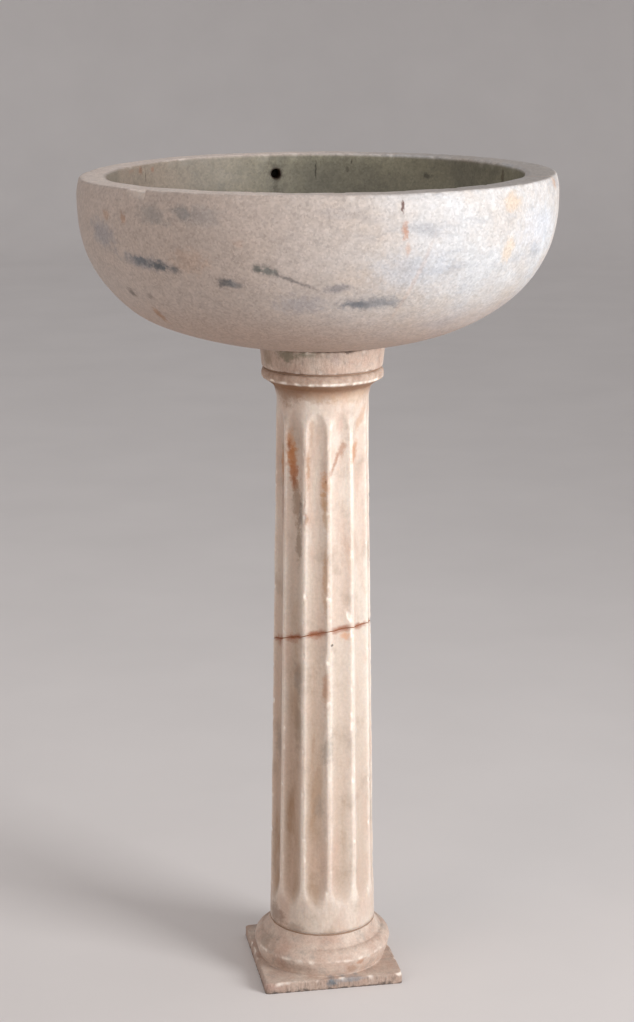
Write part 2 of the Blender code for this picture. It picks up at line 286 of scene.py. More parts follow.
def carve_bowl(shape):
    """The marble bowl, cut by hand: its rim isn't level, its lower left is fuller, its edge is chipped."""
    chip_end = math.radians(-131.6)
    chip_start = math.radians(-138.2)
    fine = np.linspace(chip_start - 0.03, chip_end + 0.03, 90)
    angles = np.sort(np.concatenate([even_angles(BOWL_SIDES, -math.pi), fine]))[None, :]
    radius, height, inside, on_rim = bowl_section()
    points = ring_points(radius, height, angles)

    # Unevenness of hand carving, slack under the seat so that the bowl sits flat on its bed.
    free = step_up(height, SEAT_Z, SEAT_Z + 0.012)
    wander = uneven(points, 0.085) * 0.8 + uneven(points, 0.028, 7.0) * 0.25
    radius = radius + wander * shape.carving * free
    fuller = near(height, 0.878, 0.026) * np.clip(-np.cos(angles), 0, 1) * 0.0035
    radius = radius + fuller * (1 - inside)
    height = height + uneven(points, 0.050, 3.0) * shape.carving * 0.45 * step_up(height, 1.02, RIM_Z)

    # Small nicks along both edges of the rim.
    at_top = near(points[..., 2], RIM_Z, 0.0040)
    outer_edge = at_top * near(radius, LIP_RADIUS, 0.0040)
    inner_edge = at_top * near(radius, BASIN_RADIUS, 0.0040)
    nick = chips(points, 0.011, 11.0, 0.22) * 0.0045
    radius = radius - outer_edge * nick * 0.6 + inner_edge * nick * 0.5
    height = height - (outer_edge + inner_edge) * nick

    # The chip: shallow at its left end, deepest just before it stops at a steep step.
    along = (angles - chip_start) / (chip_end - chip_start)
    profile = np.clip(along, 0, 1) ** 0.8 * (1 - step_up(along, 0.90, 1.0))
    reach_in = step_up(radius, LIP_RADIUS - 0.012, LIP_RADIUS - 0.001)
    reach_down = step_up(height, RIM_Z - 0.013, RIM_Z - 0.002)
    bite = profile * shape.chip_depth * reach_in * reach_down * (1 + 0.35 * uneven(points, 0.006, 5.0))
    height = height - bite
    radius = radius - bite * 0.8

    # The rim rises to the right, drops at its left end, and its wall is thicker at the right.
    raised = step_up(height, SEAT_Z, SEAT_Z + 0.05)
    height = height + math.tan(shape.rim_slope) * raised * radius * np.cos(angles)
    height = height - shape.rim_drop * raised * np.clip(-np.cos(angles), 0, 1) ** 4
    radius = radius - inside * 0.0045 * np.clip(np.cos(angles), 0, 1) ** 3 * step_up(height, 0.95, RIM_Z)

    nicked = np.clip((outer_edge + inner_edge) * nick / 0.0012, 0, 1)
    fresh = np.clip(bite / 0.003, 0, 1) * 0.40 + nicked * 0.15
    points = ring_points(radius, height, angles)
    points[..., 0] += BOWL_X
    ends = [(BOWL_X, 0, SEAT_Z + SOCKET_DEPTH), (BOWL_X, 0, RIM_Z - BASIN_DEPTH)]
    bowl = skin("font_bowl", points, ends, inside=inside, on_rim=on_rim, fresh=fresh)
    drill_wall_hole(bowl)
    return bowl


def drill_wall_hole(bowl):
    """A blind hole drilled into the wall from inside the basin, its mouth worn wider."""
    steps = np.array([(0.55, 0.0), (1.0, 0.0006), (1.0, 0.6), (1.04, 0.82), (1.25, 1.0), (1.3, 1.6)])
    angles = even_angles(40)[None, :]
    radius = HOLE_RADIUS * steps[:, :1] * (1 + 0.05 * np.cos(3 * angles + 0.7))
    depth = HOLE_DEPTH * (1 - steps[:, 1:])
    rings = ring_points(radius, depth, angles)
    ends = [(0, 0, HOLE_DEPTH), (0, 0, rings[-1, 0, 2])]
    bit = skin("hole_bit", rings, ends, inside=1.0, on_rim=0.0, fresh=0.0)
    turn = HOLE_OUTWARD.to_track_quat("Z", "Y").to_matrix().to_4x4()
    bit.matrix_world = Matrix.Translation(HOLE_MOUTH) @ turn
    cut = bowl.modifiers.new("hole", "BOOLEAN")
    cut.object = bit
    cut.operation = "DIFFERENCE"
    cut.solver = "EXACT"
    bpy.context.view_layer.update()
    cut_mesh = bpy.data.meshes.new_from_object(bowl.evaluated_get(bpy.context.evaluated_depsgraph_get()))
    bowl.modifiers.clear()
    bowl.data = cut_mesh
    bpy.data.objects.remove(bit)

    # The new faces in and round the hole belong to the inside of the basin.
    places = np.empty(len(cut_mesh.vertices) * 3, np.float32)
    cut_mesh.vertices.foreach_get("co", places)
    reach = places.reshape(-1, 3) - np.array(HOLE_MOUTH)
    depth = reach @ np.array(HOLE_OUTWARD)
    off_axis = np.linalg.norm(reach - depth[:, None] * np.array(HOLE_OUTWARD), axis=1)
    around_hole = (off_axis < HOLE_RADIUS * 1.6) & (np.abs(depth) < HOLE_DEPTH * 1.2)
    for label, value in (("inside", 1.0), ("on_rim", 0.0), ("fresh", 0.0)):
        values = np.empty(len(cut_mesh.vertices), np.float32)
        cut_mesh.attributes[label].data.foreach_get("value", values)
        values[around_hole] = value
        cut_mesh.attributes[label].data.foreach_set("value", values)


# ---------------------------------------------------------------- column


def plain_radius(height):
    """The column's taper, with the flare of its neck below the head moulding."""
    share = (height - SHAFT_FOOT_Z) / (NECK_Z - SHAFT_FOOT_Z)
    flare = 0.0034 * np.clip((height - (NECK_Z - 0.020)) / 0.020, 0, 1) ** 2
    return SHAFT_FOOT_RADIUS + (SHAFT_TOP_RADIUS - SHAFT_FOOT_RADIUS) * share + flare


def fluted(height, angles, wear):
    """Radius of the fluted column, and how far below the plain surface each point is cut."""
    plain = plain_radius(height)
    above = np.clip((height - (FLUTE_HEAD_Z - FLUTE_END)) / FLUTE_END, 0, 1)
    below = np.clip((FLUTE_FOOT_Z + FLUTE_END - height) / FLUTE_END, 0, 1)
    share = np.clip(np.sqrt(1 - above**2) * np.sqrt(1 - below**2), 0.02, 1)
    half = FLUTE_HALF_ANGLE * share
    deepest = plain - FLUTE_DEPTH * share**1.5
    tool = (plain**2 + deepest**2 - 2 * plain * deepest * np.cos(half)) / (
        2 * (plain * np.cos(half) - deepest)
    )
    off = (angles - FLUTE_TURN + FLUTE_PITCH / 2) % FLUTE_PITCH - FLUTE_PITCH / 2
    centre = deepest + tool
    inside = np.clip(tool**2 - (centre * np.sin(off)) ** 2, 0, None)
    cut = plain - (centre * np.cos(off) - np.sqrt(inside))
    cut = np.where((np.abs(off) < half * 1.6) & (share > 0.03), cut, -0.003)
    wear = wear * (1 + 1.6 * (1 - share))
    softened = (cut + np.sqrt(cut**2 + wear**2)) / 2
    return plain - softened, softened


def break_height(x, y):
    """Height of the old break at a place across the column."""
    flat = np.stack([x, y, np.zeros_like(x)], axis=-1)
    ragged = uneven(flat, 0.019, 2.0) * 0.0016 + uneven(flat, 0.006, 9.0) * 0.0007
    return BREAK_Z + BREAK_SLOPE_X * x + BREAK_SLOPE_Y * y + ragged


def weathered_column(shape, height, angles):
    """Radius, how far each point is cut, and how much it is paled for chips and for the painted highlight on
    its arrises, for a stretch of the column.
    """
    points = ring_points(plain_radius(height), height, angles)
    rub = np.clip(0.6 + uneven(points, 0.030, 4.0), 0.25, 1.5)
    radius, cut = fluted(height, angles, shape.arris_wear * rub)
    radius = radius + uneven(points, 0.060, 1.0) * 0.0006 + uneven(points, 0.012, 6.0) * 0.00018
    ridge = near(cut, 0, 0.0011)
    knock = np.clip((uneven(points, 0.0085, 8.0) - 0.34) / 0.35, 0, 1) * ridge
    fluted_part = step_up(height, FLUTE_FOOT_Z, 0.12) * (1 - step_up(height, 0.74, FLUTE_HEAD_Z))
    radius = radius - knock * 0.0016 * fluted_part

    # One larger flake has come off beside an arris just above the break.
    flake_angle, flake_z = math.radians(-55), 0.497
    drop = height - flake_z
    arc = (angles - flake_angle) * 0.060 + drop * 0.30 + 22 * drop**2
    jag = 1 + 0.55 * uneven(points, 0.004, 12.0)
    flake = np.exp(-((((arc / 0.0034) ** 2 + (drop / 0.0072) ** 2) * jag) ** 2))
    radius = radius - flake * 0.0015
    # ridge adds a painted highlight along the arrises; knock and flake are chips.
    fresh = np.clip((knock * 0.7 + ridge * 0.28) * fluted_part + flake * 0.6, 0, 1)
    return radius, cut, fresh


def broken_face(rim, hole, side):
    """Rings across the broken face, from the surface in to the edge of the pin's socket."""
    shares = np.array([0.98, 0.94, 0.87, 0.76, 0.63, 0.50, 0.37, 0.24, 0.12, 0.0])[:, None, None]
    flat = hole[:, :2] + (rim[:, :2] - hole[:, :2]) * shares
    height = break_height(flat[..., 0], flat[..., 1]) + side * BREAK_SEAM / 2
    return np.concatenate([flat, height[..., None]], axis=-1)


def carve_shaft(shape, name, upper):
    """One half of the mended column, from its broken face to its head moulding or its foot."""
    angles = even_angles(COLUMN_SIDES, FLUTE_TURN)[None, :]
    side = 1 if upper else -1
    hole = ring_points(SOCKET_RADIUS, 0.0, angles)[0]

    # Heights run from the break to the end of the fluted stretch; near the break they follow its slope.
    start = np.full(angles.shape, BREAK_Z)
    for _ in range(2):
        edge = ring_points(fluted(start, angles, shape.arris_wear)[0], 0.0, angles)
        start = break_height(edge[..., 0], edge[..., 1]) + side * BREAK_SEAM / 2
    end_z = NECK_Z if upper else SHAFT_FOOT_Z
    height = start + (end_z - start) * np.linspace(0, 1, 118)[:, None] ** 1.25
    radius, cut, fresh = weathered_column(shape, height, angles)
    spall = np.exp(-np.abs(height - start) / 0.0010) * (0.0001 + 0.0009 * np.abs(uneven(edge, 0.008, 3.0)))
    wall = ring_points(radius - spall, height, angles)

    pin_end = BREAK_Z + side * (BREAK_WIDTH / 2 + SOCKET_DEPTH)
    joint_z = SHAFT_TOP_Z if upper else SHAFT_FOOT_Z
    socket_end = joint_z - side * SOCKET_DEPTH
    finish, finish_fresh = head_moulding(angles) if upper else shaft_foot(angles)
    face = broken_face(wall[0], hole, side)[::-1]
    rings = np.concatenate(
        [
            [hole * 0.6 + [0, 0, pin_end], hole + [0, 0, pin_end]],
            face,
            wall,
            finish,
            [hole + [0, 0, joint_z], hole + [0, 0, socket_end], hole * 0.6 + [0, 0, socket_end]],
        ]
    )
    before = 2 + len(face)
    spare = ((before, len(rings) - before - len(wall)), (0, 0))
    off_break = rings[..., 2] - break_height(rings[..., 0], rings[..., 1])
    fresh = np.pad(fresh, spare)
    fresh[before + len(wall) : -3] = finish_fresh
    return skin(
        name,
        rings,
        [(0, 0, pin_end), (0, 0, socket_end)],
        hollow=np.pad(cut / FLUTE_DEPTH, spare),
        fresh=fresh,
        off_break=off_break,
    )


def head_moulding(angles):
    """The moulding at the head of the column: a low round above a chipped arris, undercut to the neck."""
    under = [(0.0612, 0.0004), (0.0638, 0.0028), (0.0678, 0.0060), (0.0720, 0.0087), (0.0751, 0.0105)]
    arris = [(0.0763, 0.0113), (0.0768, 0.0122), (0.0770, 0.0134)]
    arris_height = 0.0124
    front = [(HEAD_RADIUS, 0.0152), (0.0770, 0.0175), (0.0764, 0.0198), (0.0755, 0.0215)]
    front += [(0.0744, HEAD_HEIGHT - 0.0004), (0.0728, HEAD_HEIGHT), (0.050, HEAD_HEIGHT)]
    section = np.array(under + arris + front)
    radius, height = section[:, :1], section[:, 1:]
    rings = ring_points(radius, NECK_Z + height, angles)
    knocks = np.clip(uneven(rings, 0.017, 5.0) + uneven(rings, 0.006, 6.0) * 0.4, 0, 1) * 0.0034
    at_arris = near(height, arris_height, 0.0018)
    at_top = near(height, HEAD_HEIGHT, 0.0020) * 0.5
    outer = step_up(radius, 0.064, 0.074)
    sunk = knocks * (at_arris + at_top) * outer
    level_top = step_up(HEAD_HEIGHT - height, 0, 0.003)
    wander = (uneven(rings, 0.035) * 0.0009 + uneven(rings, 0.008, 2.0) * 0.0003) * outer * level_top
    rings = ring_points(radius - sunk - wander, NECK_Z + height + sunk * at_arris * 0.4, angles)
    # The second value pales the arris for its chips and for a painted highlight all along it.
    return rings, np.clip(knocks / 0.0012 + 0.15, 0, 0.9) * at_arris * outer


def shaft_foot(angles):
    """The slightly worn lower edge of the column and its underside."""
    radius = np.array([SHAFT_FOOT_RADIUS - 0.0010, SHAFT_FOOT_RADIUS - 0.012, 0.040])[:, None]
    return ring_points(radius, SHAFT_FOOT_Z, angles), 0.0


def carve_washer(name, low, high, outer, hole, ragged, break_side=False, seed=0.0):
    """A bed of mortar between two faces, with a hole for the dowel's lead and an uneven outer edge."""
    angles = even_angles(BED_SIDES)[None, :]
    shares = np.array([0, 0.35, 0.7, 0.92, 1.0])
    reach = outer(angles) if callable(outer) else np.full(angles.shape, outer)
    edge = ring_points(reach, low if not break_side else BREAK_Z, angles)
    reach = reach + (uneven(edge, 0.009, seed) - 0.45) * ragged
    lower = hole + (reach - hole) * shares[:, None]
    upper = lower[::-1] - 0.0002 * (shares[::-1, None] > 0.99)
    x_low, y_low = lower * np.cos(angles), lower * np.sin(angles)
    x_up, y_up = upper * np.cos(angles), upper * np.sin(angles)
    if break_side:
        z_low, z_up = break_height(x_low, y_low) + low, break_height(x_up, y_up) + high
    else:
        z_low, z_up = np.full_like(x_low, low), np.full_like(x_up, high)
    rings = np.concatenate([np.stack([x_low, y_low, z_low], -1), np.stack([x_up, y_up, z_up], -1)])
    return skin(name, rings)


# ---------------------------------------------------------------- collar and base


def carve_collar(shape):
    """The round collar stone, tooled upright all round its edge."""
    angles = even_angles(COLUMN_SIDES)[None, :]
    top_radius = (COLLAR_HIGH.x - COLLAR_LOW.x) / 2 + 0.0010
    foot_radius = top_radius - 0.0024
    low, high = COLLAR_LOW.z, COLLAR_HIGH.z
    worn, worn_foot = 0.0018, 0.0026
    quarter = np.linspace(0, math.pi / 2, 6)
    section = [(SOCKET_RADIUS, low), (0.045, low), (foot_radius - 0.006, low)]
    section += [
        (foot_radius - worn_foot * (1 - math.sin(t)), low + worn_foot * (1 - math.cos(t))) for t in quarter
    ]
    band = np.linspace((foot_radius, low + worn_foot), (top_radius, high - worn), 14)[1:-1]
    section += band.tolist()
    section += [(top_radius - worn * (1 - math.cos(t)), high - worn * (1 - math.sin(t))) for t in quarter]
    section += [(top_radius - 0.006, high), (0.045, high), (SOCKET_RADIUS, high)]
    section = np.array(section)
    radius, height = section[:, :1], section[:, 1:]
    rings = ring_points(radius, height, angles)
    edge = step_up(radius, top_radius - 0.007, top_radius - 0.003)
    tooling = uneven(rings * [1, 1, 0.35], 0.0034, 3.0) * shape.tool_marks * 0.6
    knocks = chips(rings, 0.009, 6.0, 0.22) * 0.004
    near_arris = near(height, high, 0.003) + near(height, low, 0.003)
    radius = radius + edge * (tooling + uneven(rings, 0.040) * 0.0007 - knocks * near_arris)
    rings = ring_points(radius, height, angles)
    return skin("font_collar", rings, tooled=edge * 0.45, fresh=knocks * near_arris / 0.0015)


def square_radius(angles, half, corner):
    """Distance from the middle of a square with rounded corners to its edge, at each angle."""
    turned = (angles + math.pi / 4) % (math.pi / 2) - math.pi / 4
    straight = half / np.cos(turned)
    inner = half - corner
    reach = np.abs(turned)
    along = inner * (np.cos(reach) + np.sin(reach))
    rest = np.clip(along**2 - 2 * inner**2 + corner**2, 0, None)
    rounded = along + np.sqrt(rest)
    on_corner = half * np.tan(reach) > inner
    return np.where(on_corner, rounded, straight)


def base_section():
    """The torus and its neck, from the top of the block down to the plinth. A worn ridge runs round the
    widest part, and the stone below it falls almost straight."""
    neck_share = np.linspace(0, 1, 10)
    neck = [
        BASE_TOP_RADIUS + (TORUS_SHOULDER_RADIUS - BASE_TOP_RADIUS) * neck_share**1.6,
        BASE_TOP_Z - (BASE_TOP_Z - TORUS_SHOULDER_Z) * neck_share,
    ]
    turn = np.linspace(math.pi / 2, 0, 16)[1:]
    upper = [
        TORUS_SHOULDER_RADIUS + (TORUS_RADIUS - TORUS_SHOULDER_RADIUS) * np.cos(turn) ** (2 / 1.9),
        TORUS_EQUATOR_Z + (TORUS_SHOULDER_Z - TORUS_EQUATOR_Z) * np.sin(turn) ** (2 / 1.9),
    ]
    under_share = np.linspace(0, 1, 14)[1:]
    lower = [
        TORUS_RADIUS - TORUS_UNDERCUT * under_share**1.5,
        TORUS_EQUATOR_Z - (TORUS_EQUATOR_Z - PLINTH_HEIGHT + 0.0002) * under_share,
    ]
    radius, height = np.concatenate([neck, upper, lower], axis=1)
    ridge = 0.0005 * near(height, TORUS_EQUATOR_Z, 0.0016)
    return (radius + ridge)[:, None], height[:, None]


def carve_base(shape):
    """Torus and square plinth cut from one block, with chisel marks on the plinth's edges."""
    angles = even_angles(BASE_SIDES, PLINTH_TURN + math.pi / 4)[None, :]
    top_radius = np.array([SOCKET_RADIUS, 0.040, BASE_TOP_RADIUS - 0.002])[:, None]
    radius, height = base_section()
    radius = np.concatenate([top_radius, radius])
    height = np.concatenate([np.full_like(top_radius, BASE_TOP_Z), height])
    torus = ring_points(radius, height, angles)
    loose = step_up(radius, BASE_TOP_RADIUS, TORUS_SHOULDER_RADIUS)
    wear = uneven(torus, 0.045, 2.0) * 0.0009 + uneven(torus, 0.010, 4.0) * 0.0003
    at_ridge = near(height, TORUS_EQUATOR_Z, 0.0022) * loose
    rubbed = chips(torus, 0.009, 15.0, 0.05)
    torus = ring_points(radius + wear * loose - rubbed * at_ridge * 0.0010, height, angles)

    # The flat top of the plinth, out to where its edge turns down.
    outline = square_radius(angles - PLINTH_TURN, PLINTH_SIDE / 2, PLINTH_CORNER)
    share = np.linspace(0, 1, 14)[1:, None] ** 0.9
    foot = np.hypot(torus[-1, :, 0], torus[-1, :, 1])
    flat = ring_points(foot + (outline - PLINTH_ROUND - foot) * share, PLINTH_HEIGHT, angles)
    away_from_ends = np.clip(share * 3, 0, 1) * np.clip((1 - share) * 4, 0, 1)
    flat[..., 2] += uneven(flat, 0.016, 5.0) * 0.00035 * away_from_ends

    # Its rounded arris and its tooled sides, with knocks along the arris and one small pit at the front.
    quarter = np.linspace(0, math.pi / 2, 7)[1:, None]
    fall = np.linspace(0, 1, 9)[1:, None]
    rounded = outline - PLINTH_ROUND * (1 - np.sin(quarter))
    reach = np.concatenate([rounded, np.repeat(outline, len(fall), 0)])
    turned = PLINTH_HEIGHT - PLINTH_ROUND * (1 - np.cos(quarter))
    level = np.concatenate([turned, (PLINTH_HEIGHT - PLINTH_ROUND) * (1 - fall)])
    on_side = np.concatenate([np.sin(quarter), np.ones_like(fall)])
    edge = ring_points(reach, level, angles)
    chisel = uneven(edge * [1, 1, 0.25], 0.0030, 3.0) * shape.tool_marks * 1.3
    knock = chips(edge, 0.012, 7.0, 0.12) * 0.0045
    arris = near(level, PLINTH_HEIGHT - 0.001, 0.003)
    across = (angles - PIT_ANGLE) * PLINTH_SIDE / 2
    pit_radius, pit_z, pit_depth = 0.0026, 0.0122, 0.0045
    pit = np.exp(-(((across / pit_radius) ** 2 + ((level - pit_z) / pit_radius) ** 2) ** 2)) * pit_depth
    edge = ring_points(reach + (chisel - knock * arris) * on_side - pit, level - knock * arris * 0.4, angles)
    last = np.hypot(edge[-1, :, 0], edge[-1, :, 1])
    underside = ring_points(last * np.array([0.995, 0.97, 0.6])[:, None], 0.0, angles)

    socket_end = BASE_TOP_Z - SOCKET_DEPTH
    socket = ring_points(np.array([[0.6], [1.0]]) * SOCKET_RADIUS, socket_end, angles)
    points = np.concatenate([socket, torus, flat, edge, underside])
    around = ((len(socket) + len(torus) + len(flat), len(underside)), (0, 0))
    tooled = np.pad(np.broadcast_to(on_side, edge.shape[:2]), around)
    fresh = np.pad(knock * arris / 0.0015, around)
    # Along the torus's ridge the paler colour is a painted highlight, broken where the ridge is rubbed.
    fresh[len(socket) : len(socket) + len(torus)] = at_ridge * np.clip(0.12 + rubbed * 2.4, 0, 0.8)
    pitted = np.pad(pit / pit_depth, around)
    ends = [(0, 0, socket_end), (0, 0, 0)]
    return skin("font_base", points, ends, tooled=tooled, fresh=np.clip(fresh, 0, 1), pitted=pitted)


# ---------------------------------------------------------------- finishes


def add_node(tree, kind, inputs=None, **settings):
    """Adds one shader node. settings are its own fields. inputs are its sockets, each a value, a socket to
    link or a node, which stands for its first working output."""
    node = tree.nodes.new("ShaderNode" + kind)
    for field, value in settings.items():
        setattr(node, field, value)
    for socket, value in (inputs or {}).items():
        if isinstance(value, bpy.types.Node):
            value = next(output for output in value.outputs if output.enabled)
        if isinstance(value, bpy.types.NodeSocket):
            tree.links.new(value, node.inputs[socket])
        else:
            node.inputs[socket].default_value = value
    return node


def new_finish(name):
    """An empty material, the function that adds nodes to it, and the object's own coordinates."""
    material = bpy.data.materials.new(name)
    material.use_nodes = True
    material.node_tree.nodes.clear()
    add = partial(add_node, material.node_tree)
    return material, add, add("TexCoord").outputs["Object"]


def lay(add, under, over, *measures):
    """Lays one colour over another. Each measure is a value, where it begins and ends, how much of the
    upper colour shows at each end, and how it changes between them. The shares are multiplied."""
    share = None
    for value, begins, ends, least, most, change in measures:
        span = {"Value": value, "From Min": begins, "From Max": ends, "To Min": least, "To Max": most}
        part = add("MapRange", span, interpolation_type=change)
        share = part if share is None else add("Math", {0: share, 1: part}, operation="MULTIPLY")
    return add("Mix", {0: share, 6: under, 7: over}, data_type="RGBA")


def vary_lightness(add, colour, grain, low, high, darkest, lightest):
    """Makes a colour darker and lighter with a grain."""
    span = {"Value": grain, "From Min": low, "From Max": high, "To Min": darkest, "To Max": lightest}
    return add("HueSaturation", {"Value": add("MapRange", span), "Color": colour})


def relief(add, worked, worked_depth, grain, grain_depth):
    """Two layers of relief: the marks of the tool, and the grain of the stone on top of them."""
    under = add("Bump", {"Height": worked, "Strength": 1.0, "Distance": worked_depth})
    return add("Bump", {"Height": grain, "Strength": 1.0, "Distance": grain_depth, "Normal": under})


def surface(add, inputs):
    """The material's shader, straight to its output."""
    add("OutputMaterial", {"Surface": add("BsdfPrincipled", inputs)})


def marble_surface(add, colour, roughness, normal, glow):
    """Marble, which lets light in a few millimetres, the red of it deepest. glow is how much light, how
    deep each colour goes beside the others, and how deep the deepest goes in metres."""
    share, radius, depth = glow
    shader = {"Base Color": colour, "Roughness": roughness, "IOR": STONE_IOR, "Normal": normal}
    glowing = {"Subsurface Weight": share, "Subsurface Radius": radius, "Subsurface Scale": depth}
    surface(add, shader | glowing)


def unrolled(add, place, axis_x, radius, ragged):
    """Arc length from the front and height, as X and Y, with a ragged wander of the given size in metres."""
    centred = add("VectorMath", {0: place, 1: (axis_x, 0, 0)}, operation="SUBTRACT")
    across, along, height = add("SeparateXYZ", {0: centred}).outputs
    front = add("Math", {0: along, 1: -1}, operation="MULTIPLY")
    angle = add("Math", {0: across, 1: front}, operation="ARCTAN2")
    arc = add("Math", {0: angle, 1: radius}, operation="MULTIPLY")
    flat = add("CombineXYZ", {0: arc, 1: height})
    wander = add("TexNoise", {"Vector": place, "Scale": 1 / 0.011, "Detail": 4, "Roughness": 0.65})
    middle = add("VectorMath", {0: wander.outputs["Color"], 1: (0.5,) * 3}, operation="SUBTRACT")
    return add("VectorMath", {0: middle, 1: (ragged, ragged, 0), 2: flat}, operation="MULTIPLY_ADD")


def lay_marks(add, colour, flat, radius, marks):
    """Lays stains with broken edges over a colour. Each mark is its angle from the front in degrees, its
    height, half its length and width, all in millimetres, how it leans in degrees, its colour and its
    strength."""
    grit = add("TexNoise", {"Vector": flat, "Scale": 1 / 0.010, "Detail": 6, "Roughness": 0.72})
    broken = {"Value": grit, "From Min": 0.25, "From Max": 0.75, "To Min": -0.65, "To Max": 0.65}
    break_up = add("MapRange", broken)
    for angle, height, length, width, lean, tint, strength in marks:
        spot = {
            "Vector": flat,
            "Location": (math.radians(angle) * radius, height / 1000, 0),
            "Rotation": (0, 0, math.radians(lean)),
            "Scale": (length / 1000, width / 1000, 1),
        }
        reach = add("VectorMath", {0: add("Mapping", spot, vector_type="TEXTURE")}, operation="LENGTH")
        rough_reach = add("Math", {0: reach, 1: break_up}, operation="ADD")
        colour = lay(add, colour, hex_colour(tint), (rough_reach, 0.3, 1.25, strength, 0, SOFTLY))
    return colour


BOWL_MARKS = [
    # Blue-grey streaks and patches in the bed of the stone
    (-59, 994, 36, 18, -8, "848890", 0.55),
    (-44, 968, 44, 9, -4, "777D84", 0.60),
    (-45, 971, 16, 6.5, -6, "5B6269", 0.75),
    (-39.5, 966, 16, 6.5, -4, "4A5258", 0.85),
    (-35, 964, 12, 5.5, -4, "50575D", 0.80),
    (-47, 925, 9, 4.5, 0, "6E6660", 0.50),
    (-22.0, 952, 10, 6.5, 0, "4A4F53", 0.80),
    (-19.6, 951, 10, 5.5, 0, "5E6367", 0.70),
    (-13.6, 971, 6, 6, -20, "4E5450", 0.80),
    (-11, 968, 12, 7, -14, "5C625F", 0.80),
    (-5.5, 957, 28, 2.6, -20, "6E6A68", 0.75),
    (4.6, 949, 18, 6, 0, "737277", 0.65),
    (13.5, 929, 44, 8.5, 0, "666C74", 0.65),
    (9, 928, 14, 5, 0, "5A6068", 0.60),
    (-54.8, 926, 9, 6, -10, "5E5650", 0.70),
    (-39, 1024, 26, 12, -10, "888785", 0.60),
    (-31, 1029, 16, 10, 0, "7B7C7C", 0.65),
    (-26, 1027, 27, 13, 0, "918F8E", 0.50),
    (-4, 928, 36, 14, 0, "8F8E94", 0.45),
    # Painted cool light: two broad pale blue patches on the lit right
    (22, 966, 60, 24, 0, "AEB5C0", 0.35),
    (62, 1000, 60, 26, 0, "BFC6D2", 0.35),
    # Rust
    (-56, 1018, 10, 7, 0, "A98566", 0.40),
    (-49, 1017, 5, 9, 0, "9C7250", 0.50),
    (-49.8, 899, 9, 11, -20, "94683F", 0.65),
    (-30, 975, 30, 16, 0, "B59A86", 0.35),
    (-17.5, 998, 7, 5, 0, "B39684", 0.30),
    (18.4, 1039, 1.7, 8, 0, "4F2A1C", 0.90),
    (19.2, 1013, 4.6, 10, 0, "A9724F", 0.70),
    (20.0, 992, 3.6, 10, 0, "B48E76", 0.50),
    (22.5, 952, 3.5, 56, -20, "B79F90", 0.30),
    (49, 1036, 20, 13, 0, "C2A583", 0.50),
    (49, 980, 13, 17, 0, "CBB08E", 0.45),
    (74, 1046, 13, 7, 0, "B58C68", 0.50),
    # Sides and back
    (108, 985, 64, 7, 6, "7D848C", 0.50),
    (131, 962, 50, 5, -5, "5A6168", 0.60),
    (155, 938, 34, 4, 0, "666C72", 0.60),
    (172, 1008, 54, 20, 0, "8F959E", 0.45),
    (-150, 975, 52, 6, 8, "6A7077", 0.60),
    (-121, 950, 44, 5, -6, "5E656B", 0.55),
    (-104, 1004, 44, 15, 0, "8F949C", 0.45),
    (-139, 1022, 6, 10, 0, "A27C58", 0.45),
    (143, 1012, 6, 12, 0, "A8825F", 0.40),
    (-168, 900, 16, 6, 20, "98704A", 0.40),
]

BASIN_MARKS = [
    # Painted shade: two broad dark marks across the middle of the basin's far wall
    (180, 1015, 110, 44, 0, "565248", 0.40),
    (-180, 1015, 110, 44, 0, "565248", 0.40),
    (-179.5, 1033, 1.2, 17, 0, "3C382F", 0.85),
    (-120.6, 1032, 1.1, 16, 0, "4A4135", 0.75),
    (-118.3, 1041, 5, 6, 0, "75503A", 0.65),
    (-124, 1041, 5, 4, 20, "855A42", 0.60),
    (-113, 1043, 8, 3, 0, "7F604A", 0.45),
    (169.8, 1042, 2.2, 3, 0, "352F28", 0.85),
    (171, 1031, 3.5, 4, 0, "3F392F", 0.60),
    (145.4, 1027, 9, 4, 0, "34352F", 0.65),
    (112, 1036, 5, 14, 0, "4C3D2A", 0.60),
    (101, 1014, 6, 12, 0, "453925", 0.55),
    (-167.3, 1029, 14, 13, 0, "4E483D", 0.60),
    (-167.3, 1008, 5, 16, 0, "4A4438", 0.45),
    (-60, 1010, 40, 16, 0, "6A6455", 0.45),
    (30, 1000, 60, 20, 0, "66624F", 0.45),
]

